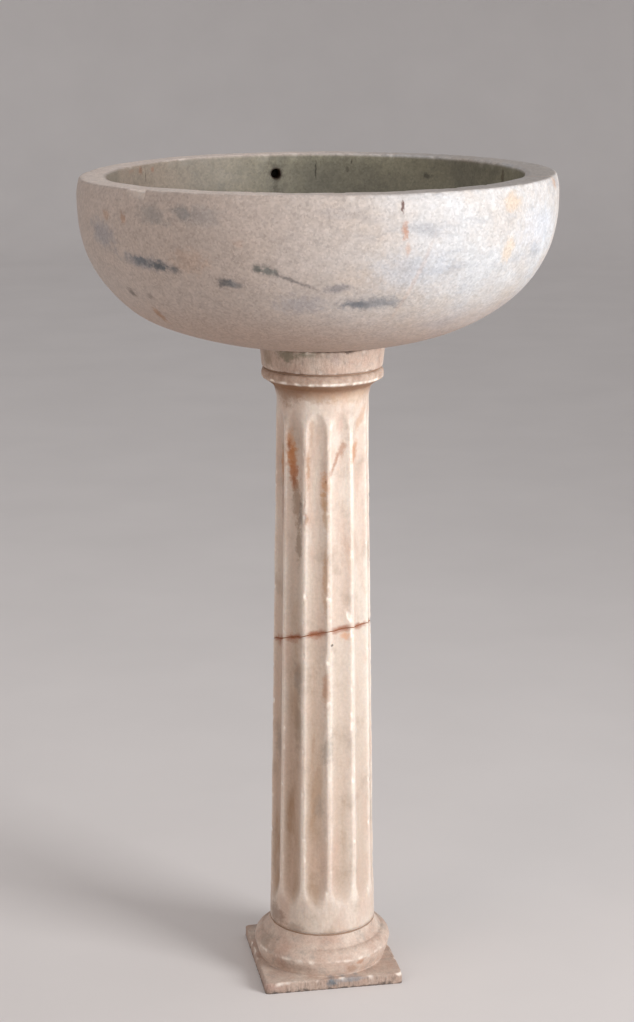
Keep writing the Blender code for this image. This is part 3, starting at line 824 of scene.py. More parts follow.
COLUMN_MARKS = [
    # Brown dirt and painted shade below the head moulding
    (-50, 781, 26, 14, 0, "8A6A50", 0.65),
    (-8, 781, 30, 8, 0, "9C7C62", 0.55),
    (40, 779, 40, 10, 0, "B79A80", 0.50),
    # Rust in the upper flutes
    (-45, 720, 8, 18, 6, "B98150", 0.65),
    (-42, 702, 11, 18, -4, "B07A48", 0.60),
    (-43.5, 704, 7, 18, 4, "AE6C34", 0.70),
    (-40.0, 684, 9, 16, 8, "A4622E", 0.80),
    (-39.5, 671, 4.5, 8, 0, "7E421C", 0.80),
    (-46.5, 716, 3.4, 8, 0, "8E5226", 0.70),
    (-37, 668, 9, 10, 0, "A9714A", 0.55),
    (-60, 690, 11, 26, 0, "B0743E", 0.75),
    (-66, 712, 4, 5, 0, "8A7A50", 0.60),
    (-34, 645, 9, 32, 0, "80644A", 0.60),
    (-60, 640, 8, 44, 0, "957460", 0.50),
    (-18, 690, 3.4, 26, 0, "A87A54", 0.55),
    (4.1, 674, 2.6, 3.4, 0, "4E2A12", 0.95),
    (3.5, 670, 7, 17, 0, "BC804A", 0.65),
    (2.0, 650, 5, 14, 0, "B28456", 0.55),
    (16, 697, 20, 3.2, 60, "9A6B50", 0.65),
    (25, 713, 16, 7.5, 62, "A27860", 0.65),
    (45, 708, 20, 8, 68, "B4784C", 0.65),
    (58, 750, 22, 8, 60, "B98D6C", 0.50),
    (24, 744, 5, 11, 0, "C9A698", 0.45),
    (-14, 735, 4, 20, 0, "B2937C", 0.45),
    (-20.6, 625, 3.6, 8, 0, "98683F", 0.60),
    # Grey clouds in the stone
    (-27, 630, 5.5, 24, 0, "6A645E", 0.55),
    (-31, 590, 7, 26, 0, "7A6752", 0.60),
    (4, 548, 5, 42, 0, "B08A68", 0.60),
    (4.5, 404, 6, 28, 0, "A97C5C", 0.60),
    (4, 630, 5, 26, 0, "B08C66", 0.50),
    (-31, 413, 9, 24, 10, "857A70", 0.55),
    (-65, 317, 11, 26, 0, "7B6F63", 0.55),
    (6.4, 322, 8, 22, -8, "897D72", 0.50),
    (-4, 243, 7, 18, 0, "8E8176", 0.45),
    (-30, 352, 8, 40, 0, "84725F", 0.45),
    (11.3, 461, 1.7, 1.9, 0, "453B33", 0.90),
    (38, 330, 12, 28, 14, "B0A195", 0.35),
    # The foot, darker at the left: rust stain from the joint with painted shade
    (-62, 80, 20, 16, 0, "6E5240", 0.60),
    (-30, 72, 14, 7, 0, "7C6251", 0.45),
    # Round the break
    (30, 472, 9, 6, 0, "C68A5E", 0.55),
    (-38, 466, 9, 7, 0, "955C3C", 0.55),
    (-8, 473, 9, 7, 0, "9A6446", 0.50),
    (-68, 456, 9, 8, 0, "8C5638", 0.55),
    # Back
    (120, 640, 6, 44, 0, "A86E3E", 0.50),
    (150, 560, 9, 30, 0, "8F857B", 0.45),
    (-150, 700, 5, 30, 0, "A56A38", 0.55),
    (-120, 540, 24, 3, 66, "906A50", 0.55),
    (-170, 300, 10, 34, 0, "8B8077", 0.45),
    (95, 210, 8, 26, 0, "94887C", 0.40),
    (170, 470, 12, 6, 0, "955C3C", 0.50),
]

COLLAR_MARKS = [
    (-34, 835, 20, 9, 0, "65644F", 0.70),
    (-12, 839, 14, 6, 0, "757360", 0.55),
    (-62, 828, 14, 14, 0, "7E6C55", 0.55),
    (12, 833, 7, 9, 0, "9C8A86", 0.40),
    (24, 839.5, 9, 2.6, 0, "4A3A30", 0.75),
    (-30, 811, 28, 3.0, 0, "6E4C36", 0.65),
    (30, 810.5, 30, 2.2, 0, "7E563C", 0.60),
    (150, 832, 26, 10, 0, "6F6B58", 0.55),
    (-130, 826, 20, 12, 0, "82765F", 0.50),
]

BASE_MARKS = [
    (7.5, 9, 8, 6, 0, "56646E", 0.75),
    (22, 11, 22, 4, 0, "78858F", 0.50),
    (-34, 8, 16, 7, 0, "A38378", 0.45),
    (-40, 3, 26, 4, 0, "6E5F56", 0.50),
    (34, 32, 8, 4, 14, "A46A44", 0.55),
    (27, 24, 10, 7, 0, "98745A", 0.40),
    (-25, 26, 34, 7, 0, "80675A", 0.40),
    (-60, 44, 20, 12, 0, "82776B", 0.45),
    (130, 30, 22, 12, 0, "8A7161", 0.40),
    (-140, 12, 22, 6, 0, "76808A", 0.45),
]


def bowl_marble(finish):
    """White marble with grey bands, cut with a point and rubbed smooth, then left unpolished: a sugary grain
    of pale crystals and soft blue-grey streaks lying level. Its left is painted warm shade and its lower
    part painted warm bounce light."""
    material, add, place = new_finish("rubbed_grey_marble")
    flat = unrolled(add, place, BOWL_X, BOWL_RADIUS, 0.007)
    across, _, height = add("SeparateXYZ", {0: place}).outputs

    # Clouds as broad as a hand turn the white warmer.
    clouds = add("TexNoise", {"Vector": place, "Scale": 1 / 0.10, "Detail": 8, "Roughness": 0.68})
    colour = lay(add, finish.bowl_white[:], finish.bowl_warm[:], (clouds, 0.38, 0.66, 0, 1, EVENLY))

    # Level bands of grey, much longer than they are high.
    stretched = add("Mapping", {"Vector": place, "Scale": (1, 1, 3.4)})
    bands = {"Vector": stretched, "Scale": 1 / 0.09, "Detail": 6, "Roughness": 0.62, "Distortion": 0.3}
    colour = lay(add, colour, finish.bowl_grey[:], (add("TexNoise", bands), 0.50, 0.74, 0, 0.55, SOFTLY))

    # Painted shade and painted bounce light: the left is painted warmer and darker, as in shade, and the
    # lower bowl pinker, as under warm light bounced up from below.
    to_the_left = (across, 0.19, -0.10, 0, 0.92, SOFTLY)
    colour = lay(add, colour, finish.bowl_left_shade[:], to_the_left)
    colour = lay(add, colour, finish.bowl_bounce_tint[:], (height, 0.935, 0.855, 0, 0.75, SOFTLY))

    # The top of the rim is painted paler at the left than at the right: painted light.
    rim_top = lay(add, finish.rim_top_dim[:], finish.rim_top_lit[:], to_the_left)
    on_rim = add("Attribute", attribute_name="on_rim").outputs["Fac"]
    colour = lay(add, colour, rim_top, (on_rim, 0, 1, 0, 0.8, EVENLY))
    colour = lay_marks(add, colour, flat, BOWL_RADIUS, BOWL_MARKS)

    # The basin is painted darker, partly dirt and partly painted shade, browner to the left and greener to
    # the right.
    basin = lay(add, finish.basin_left[:], finish.basin_right[:], (across, -0.26, 0.02, 0, 1, SOFTLY))
    basin = lay(add, basin, finish.basin_scum[:], (clouds, 0.42, 0.62, 0, 0.5, SOFTLY))
    basin = lay_marks(add, basin, flat, BOWL_RADIUS, BASIN_MARKS)

    # The drilled hole is painted near black, painted shade together with dirt, fading out round its mouth.
    turn = HOLE_OUTWARD.to_track_quat("Z", "Y").to_euler()
    bore = {"Vector": place, "Location": HOLE_MOUTH[:], "Rotation": turn[:], "Scale": (HOLE_RADIUS,) * 3}
    in_bore = add("Mapping", bore, vector_type="TEXTURE")
    from_axis = add("VectorMath", {0: in_bore, 1: (1, 1, 0)}, operation="MULTIPLY")
    off_axis = add("VectorMath", {0: from_axis}, operation="LENGTH")
    basin = lay(add, basin, finish.hole_dirt_and_shade[:], (off_axis, 1.0, 1.7, 1, 0, SOFTLY))
    inside = add("Attribute", attribute_name="inside").outputs["Fac"]
    below_rim = (height, RIM_Z, RIM_Z - 0.005, 0, 1, SOFTLY)
    colour = lay(add, colour, basin, (inside, 0, 1, 0, 1, EVENLY), below_rim)

    # Crystals of about 3 mm, each a little lighter or darker than the next.
    grains = add("TexVoronoi", {"Vector": place, "Scale": 1 / 0.0026, "Randomness": 1.0})
    fine = add("TexNoise", {"Vector": place, "Scale": 1 / 0.014, "Detail": 8, "Roughness": 0.82})
    grain = add("Mix", {0: 0.7, 2: grains.outputs["Color"], 3: fine}, data_type="FLOAT")
    colour = vary_lightness(add, colour, grain, 0.2, 0.8, 0.66, 1.28)
    fresh = add("Attribute", attribute_name="fresh").outputs["Fac"]
    colour = lay(add, colour, finish.fresh_break[:], (fresh, 0, 1, 0, 0.75, EVENLY))

    # Dressing marks 14 mm apart that rubbing has not quite taken out, and an open grain.
    dressing = add("TexNoise", {"Vector": place, "Scale": 1 / 0.014, "Detail": 2, "Roughness": 0.5})
    normal = relief(add, dressing, 0.0006, grain, 0.00014)
    gloss = {"Value": fine, "From Min": 0.3, "From Max": 0.7, "To Min": 0.50, "To Max": 0.68}
    marble_surface(add, colour, add("MapRange", gloss), normal, DULL_GLOW)
    return material


def column_marble(finish):
    """Translucent cream marble, fluted with a gouge and polished by hands: light goes some way into it, rust
    runs down the flutes from iron in the stone, and brown dirt lies where a cloth doesn't reach. Shade is
    painted on its left and under its head moulding."""
    material, add, place = new_finish("worn_cream_marble")
    column_radius = (SHAFT_TOP_RADIUS + SHAFT_FOOT_RADIUS) / 2
    flat = unrolled(add, place, 0.0, column_radius, 0.0045)
    across, _, height = add("SeparateXYZ", {0: place}).outputs

    # Clouds that run down the column, three times as long as wide.
    drawn = add("Mapping", {"Vector": place, "Scale": (1, 1, 0.30)})
    clouds = {"Vector": drawn, "Scale": 1 / 0.034, "Detail": 5, "Roughness": 0.6, "Distortion": 0.5}
    cloud = add("TexNoise", clouds)
    colour = lay(add, finish.column_cream[:], finish.column_pink[:], (cloud, 0.40, 0.64, 0, 1, EVENLY))
    patch = add("TexNoise", {"Vector": place, "Scale": 1 / 0.045, "Detail": 4, "Roughness": 0.6})
    colour = lay(add, colour, finish.column_grey[:], (patch, 0.52, 0.72, 0, 0.5, SOFTLY))

    # Dirt and painted shade: browner to the left as painted shade, and dirty in the flutes, where the stone
    # is cloudy and toward the foot.
    hollow = add("Attribute", attribute_name="hollow").outputs["Fac"]
    colour = lay(
        add,
        colour,
        finish.column_dirt_and_shade[:],
        (across, 0.045, -0.055, 0.25, 0.54, SOFTLY),
        (hollow, 0.05, 0.9, 0.35, 1.0, EVENLY),
        (cloud, 0.35, 0.65, 1.35, 0.60, EVENLY),
        (height, 0.62, 0.20, 0.60, 1.6, EVENLY),
    )

    # The head moulding is painted as dull and brown as the collar above it: partly dirt, partly painted
    # shade under the bowl.
    moulding = {"Value": height, "From Min": NECK_Z - 0.001, "From Max": NECK_Z + 0.004}
    blotches = add("TexNoise", {"Vector": place, "Scale": 1 / 0.011, "Detail": 5, "Roughness": 0.7})
    dulled_and_shaded = lay(add, finish.moulding_pale[:], finish.moulding_soil_and_shade[:], (blotches, 0.35, 0.65, 0, 1, EVENLY))
    colour = lay(add, colour, dulled_and_shaded, (height, NECK_Z - 0.001, NECK_Z + 0.004, 0, 0.85, SOFTLY))

    # Brown dirt and painted shade on the underside and just below, thinner to the right, toward the light.
    colour = lay(
        add,
        colour,
        finish.moulding_dirt_and_shade[:],
        (height, NECK_Z - 0.012, NECK_Z + 0.001, 0, 1, SOFTLY),
        (height, NECK_Z + 0.0118, NECK_Z + 0.0102, 0, 1, EVENLY),
        (across, -0.05, 0.07, 0.95, 0.70, EVENLY),
    )
    colour = lay_marks(add, colour, flat, column_radius, COLUMN_MARKS)

    # Rust bleeds a few millimetres out of the mended break, more in the flutes than on the arrises.
    off_break = add("Attribute", attribute_name="off_break").outputs["Fac"]
    distance = add("Math", {0: off_break}, operation="ABSOLUTE")
    bleed = add("TexNoise", {"Vector": place, "Scale": 1 / 0.008, "Detail": 4})
    length = {"Value": bleed, "From Min": 0.3, "From Max": 0.7, "To Min": 0.002, "To Max": 0.009}
    reach = add("Math", {0: distance, 1: add("MapRange", length)}, operation="DIVIDE")
    in_flutes = (hollow, 0, 0.7, 0.20, 1, EVENLY)
    colour = lay(add, colour, finish.rust[:], (reach, 0.15, 1.0, 0.75, 0, SOFTLY), in_flutes)

    # Arrises are painted paler, partly rubbed wear and partly painted highlight, and chips show clean
    # crystal.
    fresh = add("Attribute", attribute_name="fresh").outputs["Fac"]
    colour = lay(add, colour, finish.fresh_break[:], (fresh, 0, 1, 0, 1, EVENLY))
    fine = add("TexNoise", {"Vector": place, "Scale": 1 / 0.004, "Detail": 3, "Roughness": 0.65})
    colour = vary_lightness(add, colour, fine, 0.3, 0.7, 0.93, 1.07)

    # Scrapes of the gouge 7 mm apart under a fine grain. The moulding is matt and the rest has a low sheen.
    gouge = add("TexNoise", {"Vector": drawn, "Scale": 1 / 0.007, "Detail": 2})
    normal = relief(add, gouge, 0.0006, fine, 0.00018)
    gloss = {"Value": fine, "From Min": 0.3, "From Max": 0.7, "To Min": 0.30, "To Max": 0.46}
    on_moulding = add("MapRange", moulding, interpolation_type=SOFTLY)
    roughness = add("Mix", {0: on_moulding, 2: add("MapRange", gloss), 3: 0.75}, data_type="FLOAT")
    marble_surface(add, colour, roughness, normal, CLEAR_GLOW)
    return material


def tooled_marble(finish, name, marks, radius, grime_z):
    """Grey-white marble left from the chisel: dull and mottled, with upright tool marks on its sides that
    hold the dirt."""
    material, add, place = new_finish(name)
    flat = unrolled(add, place, 0.0, radius, 0.005)
    clouds = add("TexNoise", {"Vector": place, "Scale": 1 / 0.040, "Detail": 6, "Roughness": 0.65})
    colour = lay(add, finish.base_pale[:], finish.base_pink[:], (clouds, 0.35, 0.65, 0, 1, EVENLY))
    patches = add("TexNoise", {"Vector": place, "Scale": 1 / 0.014, "Detail": 5, "Roughness": 0.7})
    colour = lay(add, colour, finish.base_grey[:], (patches, 0.48, 0.70, 0, 0.5, SOFTLY))
    tooled = add("Attribute", attribute_name="tooled").outputs["Fac"]
    colour = lay(add, colour, finish.base_side[:], (tooled, 0, 1, 0, 0.6, EVENLY))

    # Chisel strokes 3 mm apart, drawn out upright, with dirt in them.
    upright = add("Mapping", {"Vector": place, "Scale": (1, 1, 0.22)})
    stroke = add("TexNoise", {"Vector": upright, "Scale": 1 / 0.0030, "Detail": 3, "Roughness": 0.7})
    on_sides = (tooled, 0, 1, 0, 1, EVENLY)
    colour = lay(add, colour, finish.base_soil[:], (stroke, 0.48, 0.70, 0, 0.6, SOFTLY), on_sides)
    colour = lay_marks(add, colour, flat, radius, marks)

    # Dark grime creeps up from the bottom edge: floor dirt on the base, a thin dark edge at the collar's
    # foot.
    height = add("SeparateXYZ", {0: place}).outputs[2]
    creep = add("TexNoise", {"Vector": place, "Scale": 1 / 0.007, "Detail": 3})
    ragged = {"Value": creep, "From Min": 0.3, "From Max": 0.7, "To Min": -0.003, "To Max": 0.003}
    level = add("Math", {0: height, 1: add("MapRange", ragged)}, operation="ADD")
    colour = lay(add, colour, finish.grime[:], (level, grime_z, grime_z - 0.005, 0, 0.8, SOFTLY))

    # Clean crystal in the knocks and a painted highlight along the torus's ridge, black dirt in the pit.
    fresh = add("Attribute", attribute_name="fresh").outputs["Fac"]
    colour = lay(add, colour, finish.fresh_break[:], (fresh, 0, 1.43, 0, 1, EVENLY))
    pitted = add("Attribute", attribute_name="pitted").outputs["Fac"]
    colour = lay(add, colour, finish.grime[:], (pitted, 0, 1, 0, 1, EVENLY))
    fine = add("TexNoise", {"Vector": place, "Scale": 1 / 0.0030, "Detail": 3, "Roughness": 0.7})
    colour = vary_lightness(add, colour, fine, 0.3, 0.7, 0.88, 1.12)
    struck = add("Math", {0: stroke, 1: tooled}, operation="MULTIPLY")
    normal = relief(add, struck, 0.0008, fine, 0.0004)
    marble_surface(add, colour, 0.66, normal, DULL_GLOW)
    return material


def mortar(name, pale, dark, gritty):
    """Lime mortar with sharp sand, struck off and worn back: matt, with sand grains standing proud."""
    material, add, place = new_finish(name)
    clouds = add("TexNoise", {"Vector": place, "Scale": 1 / 0.012, "Detail": 5, "Roughness": 0.7})
    colour = lay(add, pale[:], dark[:], (clouds, 0, 1, 0, 1, EVENLY))
    sand = add("TexVoronoi", {"Vector": place, "Scale": 1 / gritty})
    normal = add("Bump", {"Height": sand, "Strength": 1.0, "Distance": 0.0004})
    surface(add, {"Base Color": colour, "Roughness": 0.92, "IOR": STONE_IOR, "Normal": normal})
    return material


def rusted_iron(finish):
    """Wrought iron bar, forged square and rusted in its socket: brown scale with orange bloom."""
    material, add, place = new_finish("rusted_wrought_iron")
    bloom = add("TexNoise", {"Vector": place, "Scale": 1 / 0.006, "Detail": 6, "Roughness": 0.7})
    colour = lay(add, finish.iron_scale[:], finish.rust[:], (bloom, 0.4, 0.65, 0, 1, EVENLY))
    bare = {"Value": bloom, "From Min": 0.35, "From Max": 0.55, "To Min": 0.7, "To Max": 0.0}
    rough = {"Value": bloom, "From Min": 0.3, "From Max": 0.7, "To Min": 0.55, "To Max": 0.9}
    normal = add("Bump", {"Height": bloom, "Strength": 1.0, "Distance": 0.0006})
    metal, roughness = add("MapRange", bare), add("MapRange", rough)
    surface(add, {"Base Color": colour, "Metallic": metal, "Roughness": roughness, "Normal": normal})
    return material


def cast_lead(finish):
    """Lead poured molten round a dowel: a soft grey metal skin, dulled white in patches."""
    material, add, place = new_finish("poured_lead")
    skin_noise = add("TexNoise", {"Vector": place, "Scale": 1 / 0.009, "Detail": 5, "Roughness": 0.6})
    colour = lay(add, finish.lead[:], finish.lead_bloom[:], (skin_noise, 0.4, 0.7, 0, 1, EVENLY))
    rough = {"Value": skin_noise, "From Min": 0.3, "From Max": 0.7, "To Min": 0.38, "To Max": 0.62}
    normal = add("Bump", {"Height": skin_noise, "Strength": 1.0, "Distance": 0.0005})
    shader = {"Base Color": colour, "Metallic": 1.0, "Roughness": add("MapRange", rough), "Normal": normal}
    surface(add, shader)
    return material


def limewash(finish):
    """Limewashed plaster, brushed on: an even, dead matt surface."""
    material, add, place = new_finish("limewashed_plaster")
    brushed = add("TexNoise", {"Vector": place, "Scale": 1 / 0.30, "Detail": 3})
    colour = vary_lightness(add, finish.floor[:], brushed, 0.3, 0.7, 0.98, 1.02)
    surface(add, {"Base Color": colour, "Roughness": 0.9, "Specular IOR Level": 0.2})
    return material


# ---------------------------------------------------------------- settings


def length_setting(name, description, default):
    return FloatProperty(name=name, description=description, default=default, min=0.0, unit="LENGTH")


def colour_setting(name, description, code):
    return FloatVectorProperty(
        name=name, description=description, default=hex_colour(code), size=4, min=0, max=1, subtype="COLOR"
    )


class FontShape(bpy.types.PropertyGroup):
    """Sizes of the carving and of the wear."""

    rim_slope: FloatProperty(
        name="Rim slope",
        description="How much the rim rises from left to right",
        default=math.radians(0.20),
        subtype="ANGLE",
        unit="ROTATION",
    )
    rim_drop: length_setting("Rim drop", "How far the rim drops at its left end", 0.0036)
    carving: length_setting("Carving", "How far the hand-cut faces wander", 0.0013)
    chip_depth: length_setting("Rim chip", "Depth of the chip in the rim's outer edge", 0.0042)
    arris_wear: length_setting("Arris wear", "How far the edges between flutes are rubbed away", 0.0011)
    tool_marks: length_setting("Tool marks", "Depth of the upright chisel marks", 0.0005)


class FontFinish(bpy.types.PropertyGroup):
    """Colours of the stones, of what has stained them, and of the light and shade painted on them."""

    bowl_white: colour_setting("Bowl white", "Cleanest marble of the bowl", "BFC0C2")
    bowl_warm: colour_setting("Bowl warm", "Warmer clouds in the bowl", "B9B0A8")
    bowl_grey: colour_setting("Bowl grey", "Level grey bands in the bowl", "8E949E")
    # Rim left and Rim right are painted light on the rim's top, paler at the left and greyer at the right.
    rim_top_lit: colour_setting("Rim left", "Top of the rim, kept clean by hands", "E8DAD0")
    rim_top_dim: colour_setting("Rim right", "Top of the rim where hands rarely reach", "A9A29C")
    # Bowl soil is painted shade on the bowl's left. Bowl pink is painted warm bounce light near the seat.
    bowl_left_shade: colour_setting("Bowl soil", "Dirt on the bowl's left", "B1A49B")
    bowl_bounce_tint: colour_setting("Bowl pink", "Tinge near the bowl's seat", "AA8E7C")
    basin_left: colour_setting("Basin left", "Inside of the bowl, to the left", "897C70")
    basin_right: colour_setting("Basin right", "Inside of the bowl, to the right", "8A8775")
    # Hole dirt also paints the shade inside the drilled hole.
    hole_dirt_and_shade: colour_setting("Hole dirt", "Dirt in the drilled hole", "2C1A10")
    basin_scum: colour_setting("Basin scum", "Grey-green patches inside the bowl", "66645A")
    column_cream: colour_setting("Column cream", "Cleanest marble of the column", "DED5CB")
    column_pink: colour_setting("Column pink", "Pink clouds in the column", "CAB5A7")
    column_grey: colour_setting("Column grey", "Grey clouds in the column", "9F9184")
    # Column soil is dirt in the flutes and also painted shade on the column's left.
    column_dirt_and_shade: colour_setting("Column soil", "Brown dirt in the flutes", "937254")
    # Moulding and Moulding soil paint the head moulding darker: dirt, and painted shade under the bowl.
    moulding_pale: colour_setting("Moulding", "Cleanest marble of the head moulding", "B39E8F")
    moulding_soil_and_shade: colour_setting("Moulding soil", "Dirt on the head moulding", "8F7464")
    # Moulding dirt is also painted shade under the head moulding.
    moulding_dirt_and_shade: colour_setting("Moulding dirt", "Brown dirt under the head moulding", "80593A")
    base_pale: colour_setting("Base pale", "Cleanest marble of base and collar", "CCBDB0")
    base_pink: colour_setting("Base pink", "Pink clouds in base and collar", "B59B8C")
    base_grey: colour_setting("Base grey", "Grey patches in base and collar", "98918A")
    base_side: colour_setting("Base side", "Tooled sides of base and collar", "9C8578")
    base_soil: colour_setting("Base soil", "Dirt in the chisel marks", "6F655C")
    # Fresh break is also the colour of the painted highlight on arrises and the torus's ridge.
    fresh_break: colour_setting("Fresh break", "Clean crystal in chips and on arrises", "F4ECE2")
    grime: colour_setting("Grime", "Black dirt at the floor", "35302C")
    rust: colour_setting("Rust", "Iron stain", "8A4A26")
    mortar_pale: colour_setting("Mortar", "Lime mortar of the beds", "AE9480")
    mortar_dark: colour_setting("Mortar dirt", "Dirt in the lime mortar", "7A5D49")
    rust_mortar: colour_setting("Stained mortar", "Mortar in the break, stained by the pin", "A8683F")
    rust_mortar_dark: colour_setting("Stained mortar dark", "Its darkest patches", "7A4526")
    iron_scale: colour_setting("Iron", "Scale on the dowels", "4A3A32")
    lead: colour_setting("Lead", "Lead in the sockets", "8B8E93")
    lead_bloom: colour_setting("Lead bloom", "Whitish bloom on the lead", "B5B6B5")
    floor: colour_setting("Floor", "Floor and backdrop", "DEDBDA")


# ---------------------------------------------------------------- operators


class MARBLE_FONT_OT_bowl(bpy.types.Operator):
    """Carve the marble bowl"""

    bl_idname = "marble_font.bowl"
    bl_label = "Bowl"

    def execute(self, context):
        settings = context.scene
        bowl = carve_bowl(settings.font_shape)
        finish_piece(bowl, "bowl", bowl_marble(settings.font_finish))
        return {"FINISHED"}


class MARBLE_FONT_OT_collar(bpy.types.Operator):
    """Carve the collar stone under the bowl"""

    bl_idname = "marble_font.collar"
    bl_label = "Collar"

    def execute(self, context):
        settings = context.scene
        collar = carve_collar(settings.font_shape)
        radius = (COLLAR_HIGH.x - COLLAR_LOW.x) / 2
        grime_z = COLLAR_LOW.z + 0.001
        stone = tooled_marble(settings.font_finish, "tooled_collar_marble", COLLAR_MARKS, radius, grime_z)
        finish_piece(collar, "collar", stone)
        return {"FINISHED"}


class MARBLE_FONT_OT_column(bpy.types.Operator):
    """Carve the two halves of the fluted column"""

    bl_idname = "marble_font.column"
    bl_label = "Column"

    def execute(self, context):
        settings = context.scene
        stone = column_marble(settings.font_finish)
        for node, upper in (("upper_shaft", True), ("lower_shaft", False)):
            half = carve_shaft(settings.font_shape, "font_" + node, upper)
            finish_piece(half, node, stone)
        return {"FINISHED"}


class MARBLE_FONT_OT_base(bpy.types.Operator):
    """Carve the base block"""

    bl_idname = "marble_font.base"
    bl_label = "Base"

    def execute(self, context):
        settings = context.scene
        base = carve_base(settings.font_shape)
        stone = tooled_marble(settings.font_finish, "tooled_base_marble", BASE_MARKS, TORUS_RADIUS, 0.004)
        finish_piece(base, "base_block", stone)
        return {"FINISHED"}


class MARBLE_FONT_OT_mortar(bpy.types.Operator):
    """Lay the mortar beds and fill the old break"""

    bl_idname = "marble_font.mortar"
    bl_label = "Mortar"

    def execute(self, context):
        wear = context.scene.font_shape.arris_wear
        finish = context.scene.font_finish
        lime = mortar("lime_mortar", finish.mortar_pale, finish.mortar_dark, 0.0013)
        for seed, (node, outward, ragged) in enumerate(BEDS):
            low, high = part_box(node)
            radius = (high.x - low.x) / 2 + outward
            bed = carve_washer("font_" + node, low.z, high.z, radius, SOCKET_RADIUS, ragged, seed=seed)
            finish_piece(bed, node, lime)
        stained = mortar("rust_stained_mortar", finish.rust_mortar, finish.rust_mortar_dark, 0.0011)
        half = BREAK_SEAM / 2 - 0.0001

        def surface_of_break(angles):
            x, y = SHAFT_TOP_RADIUS * np.cos(angles), SHAFT_TOP_RADIUS * np.sin(angles)
            return fluted(break_height(x, y), angles, wear)[0] - 0.0001

        ragged = 0.0005
        name, seed = "font_break_mortar", 5.0
        filling = carve_washer(name, -half, half, surface_of_break, SOCKET_RADIUS, ragged, True, seed)
        finish_piece(filling, "break_mortar", stained)
        return {"FINISHED"}


class MARBLE_FONT_OT_fixings(bpy.types.Operator):
    """Finish the hidden dowels and the lead round them"""

    bl_idname = "marble_font.fixings"
    bl_label = "Dowels and lead"

    def execute(self, context):
        finish = context.scene.font_finish
        iron, lead = rusted_iron(finish), cast_lead(finish)
        for name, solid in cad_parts.items():
            if name.endswith(("dowel", "pin", "lead")):
                solid.data.materials.clear()
                solid.data.materials.append(lead if name.endswith("lead") else iron)
        return {"FINISHED"}


class MARBLE_FONT_OT_stage(bpy.types.Operator):
    """Set up the floor, the light and the camera"""

    bl_idname = "marble_font.stage"
    bl_label = "Stage"

    def execute(self, context):
        scene = context.scene
        build_floor(scene.font_finish)
        light_stage(scene)
        place_camera(scene)
        return {"FINISHED"}


def build_floor(finish):
    """A pale floor that curves up into a backdrop, far enough off to walk round the font."""
    bend, depth, back, half_width, height = 1.5, 12.0, 7.0, 12.0, 9.0
    outline = [(-depth, 0.0), (back, 0.0)]
    turns = np.linspace(0.1, math.pi / 2, 16)
    outline += [(back + bend * math.sin(t), bend * (1 - math.cos(t))) for t in turns]
    outline.append((back + bend, height))
    points = [(x, y, z) for y, z in outline for x in (-half_width, half_width)]
    faces = [(i, i + 1, i + 3, i + 2) for i in range(0, len(points) - 2, 2)]
    mesh = bpy.data.meshes.new("stage_floor")
    mesh.from_pydata(points, [], faces)
    mesh.shade_smooth()
    floor = bpy.data.objects.new("stage_floor", mesh)
    bpy.context.scene.collection.objects.link(floor)
    mesh.materials.append(limewash(finish))


def add_lamp(name, place, target, size, watts, spread, code):
    """A soft square lamp at a place, turned to a target. spread is how wide its beam is, in degrees."""
    lamp = bpy.data.lights.new(name, "AREA")
    lamp.size = size
    lamp.energy = watts
    lamp.spread = math.radians(spread)
    lamp.color = hex_colour(code)[:3]
    holder = bpy.data.objects.new(name, lamp)
    holder.location = place
    holder.rotation_euler = (Vector(target) - Vector(place)).to_track_quat("-Z", "Y").to_euler()
    bpy.context.scene.collection.objects.link(holder)


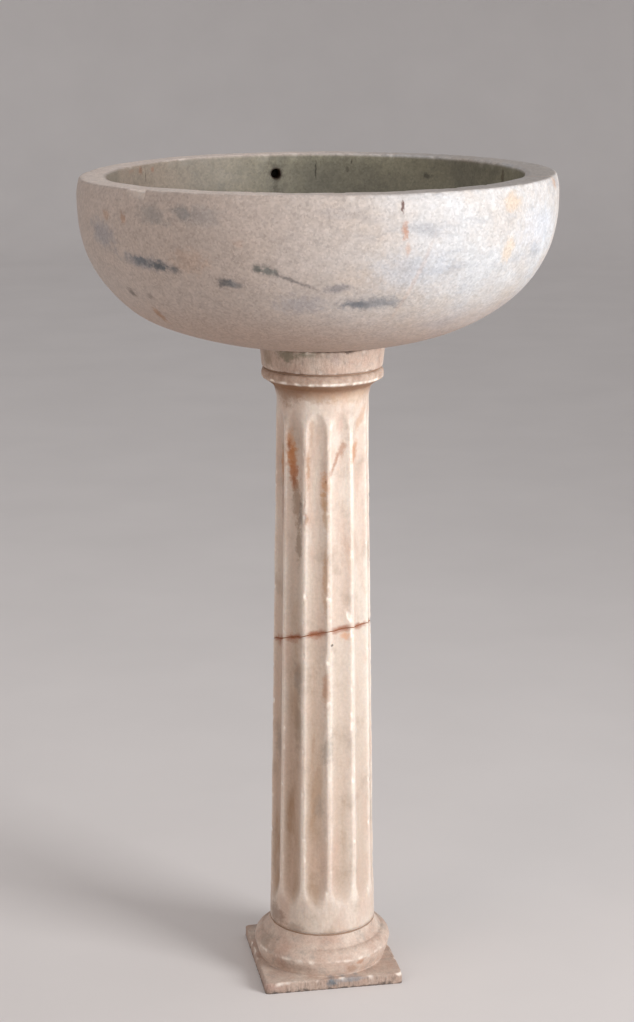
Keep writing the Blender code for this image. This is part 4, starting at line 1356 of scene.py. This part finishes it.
def light_stage(scene):
    """Window-like light from the right and front, with a pale room all round."""
    upper, middle = (0, 0, 1.0), (0, 0, 0.75)
    add_lamp("key_light", (3.0, -1.95, 1.50), upper, 1.6, 32, 75, "FFFDFC")
    add_lamp("fill_light", (-2.6, -2.6, 1.4), middle, 2.2, 25, 180, "FFE4D2")
    world = bpy.data.worlds.new("pale_room")
    world.use_nodes = True
    sky = world.node_tree.nodes["Background"]
    sky.inputs["Color"].default_value = hex_colour("E6E3E3")
    sky.inputs["Strength"].default_value = 0.66
    scene.world = world
    scene.view_settings.view_transform = "Standard"


def place_camera(scene):
    """Standing eye height in front of the font, looking down at its middle."""
    lens = bpy.data.cameras.new("front_camera")
    lens.lens = 75
    lens.sensor_width = 36
    camera = bpy.data.objects.new("front_camera", lens)
    camera.location = (BOWL_X - 0.0010, -2.634, 1.293)
    camera.rotation_euler = (math.radians(90 - 14.29), 0, 0)
    scene.collection.objects.link(camera)
    scene.camera = camera


class MARBLE_FONT_PT_sidebar(bpy.types.Panel):
    bl_idname = "MARBLE_FONT_PT_sidebar"
    bl_label = "Marble Font"
    bl_space_type = "VIEW_3D"
    bl_region_type = "UI"
    bl_category = "Font"

    def draw(self, context):
        layout = self.layout
        for operator in OPERATORS:
            layout.operator(operator.bl_idname)
        for settings in (context.scene.font_shape, context.scene.font_finish):
            for name in settings.bl_rna.properties.keys():
                if name not in ("rna_type", "name"):
                    layout.prop(settings, name)


OPERATORS = (
    MARBLE_FONT_OT_bowl,
    MARBLE_FONT_OT_collar,
    MARBLE_FONT_OT_column,
    MARBLE_FONT_OT_base,
    MARBLE_FONT_OT_mortar,
    MARBLE_FONT_OT_fixings,
    MARBLE_FONT_OT_stage,
)
CLASSES = (FontShape, FontFinish, *OPERATORS, MARBLE_FONT_PT_sidebar)


def register():
    for item in CLASSES:
        bpy.utils.register_class(item)
    bpy.types.Scene.font_shape = PointerProperty(type=FontShape)
    bpy.types.Scene.font_finish = PointerProperty(type=FontFinish)


def unregister():
    del bpy.types.Scene.font_finish
    del bpy.types.Scene.font_shape
    for item in reversed(CLASSES):
        bpy.utils.unregister_class(item)


def main():
    register()
    bpy.ops.marble_font.bowl()
    bpy.ops.marble_font.collar()
    bpy.ops.marble_font.column()
    bpy.ops.marble_font.base()
    bpy.ops.marble_font.mortar()
    bpy.ops.marble_font.fixings()
    bpy.ops.marble_font.stage()


if __name__ == "__main__":
    main()
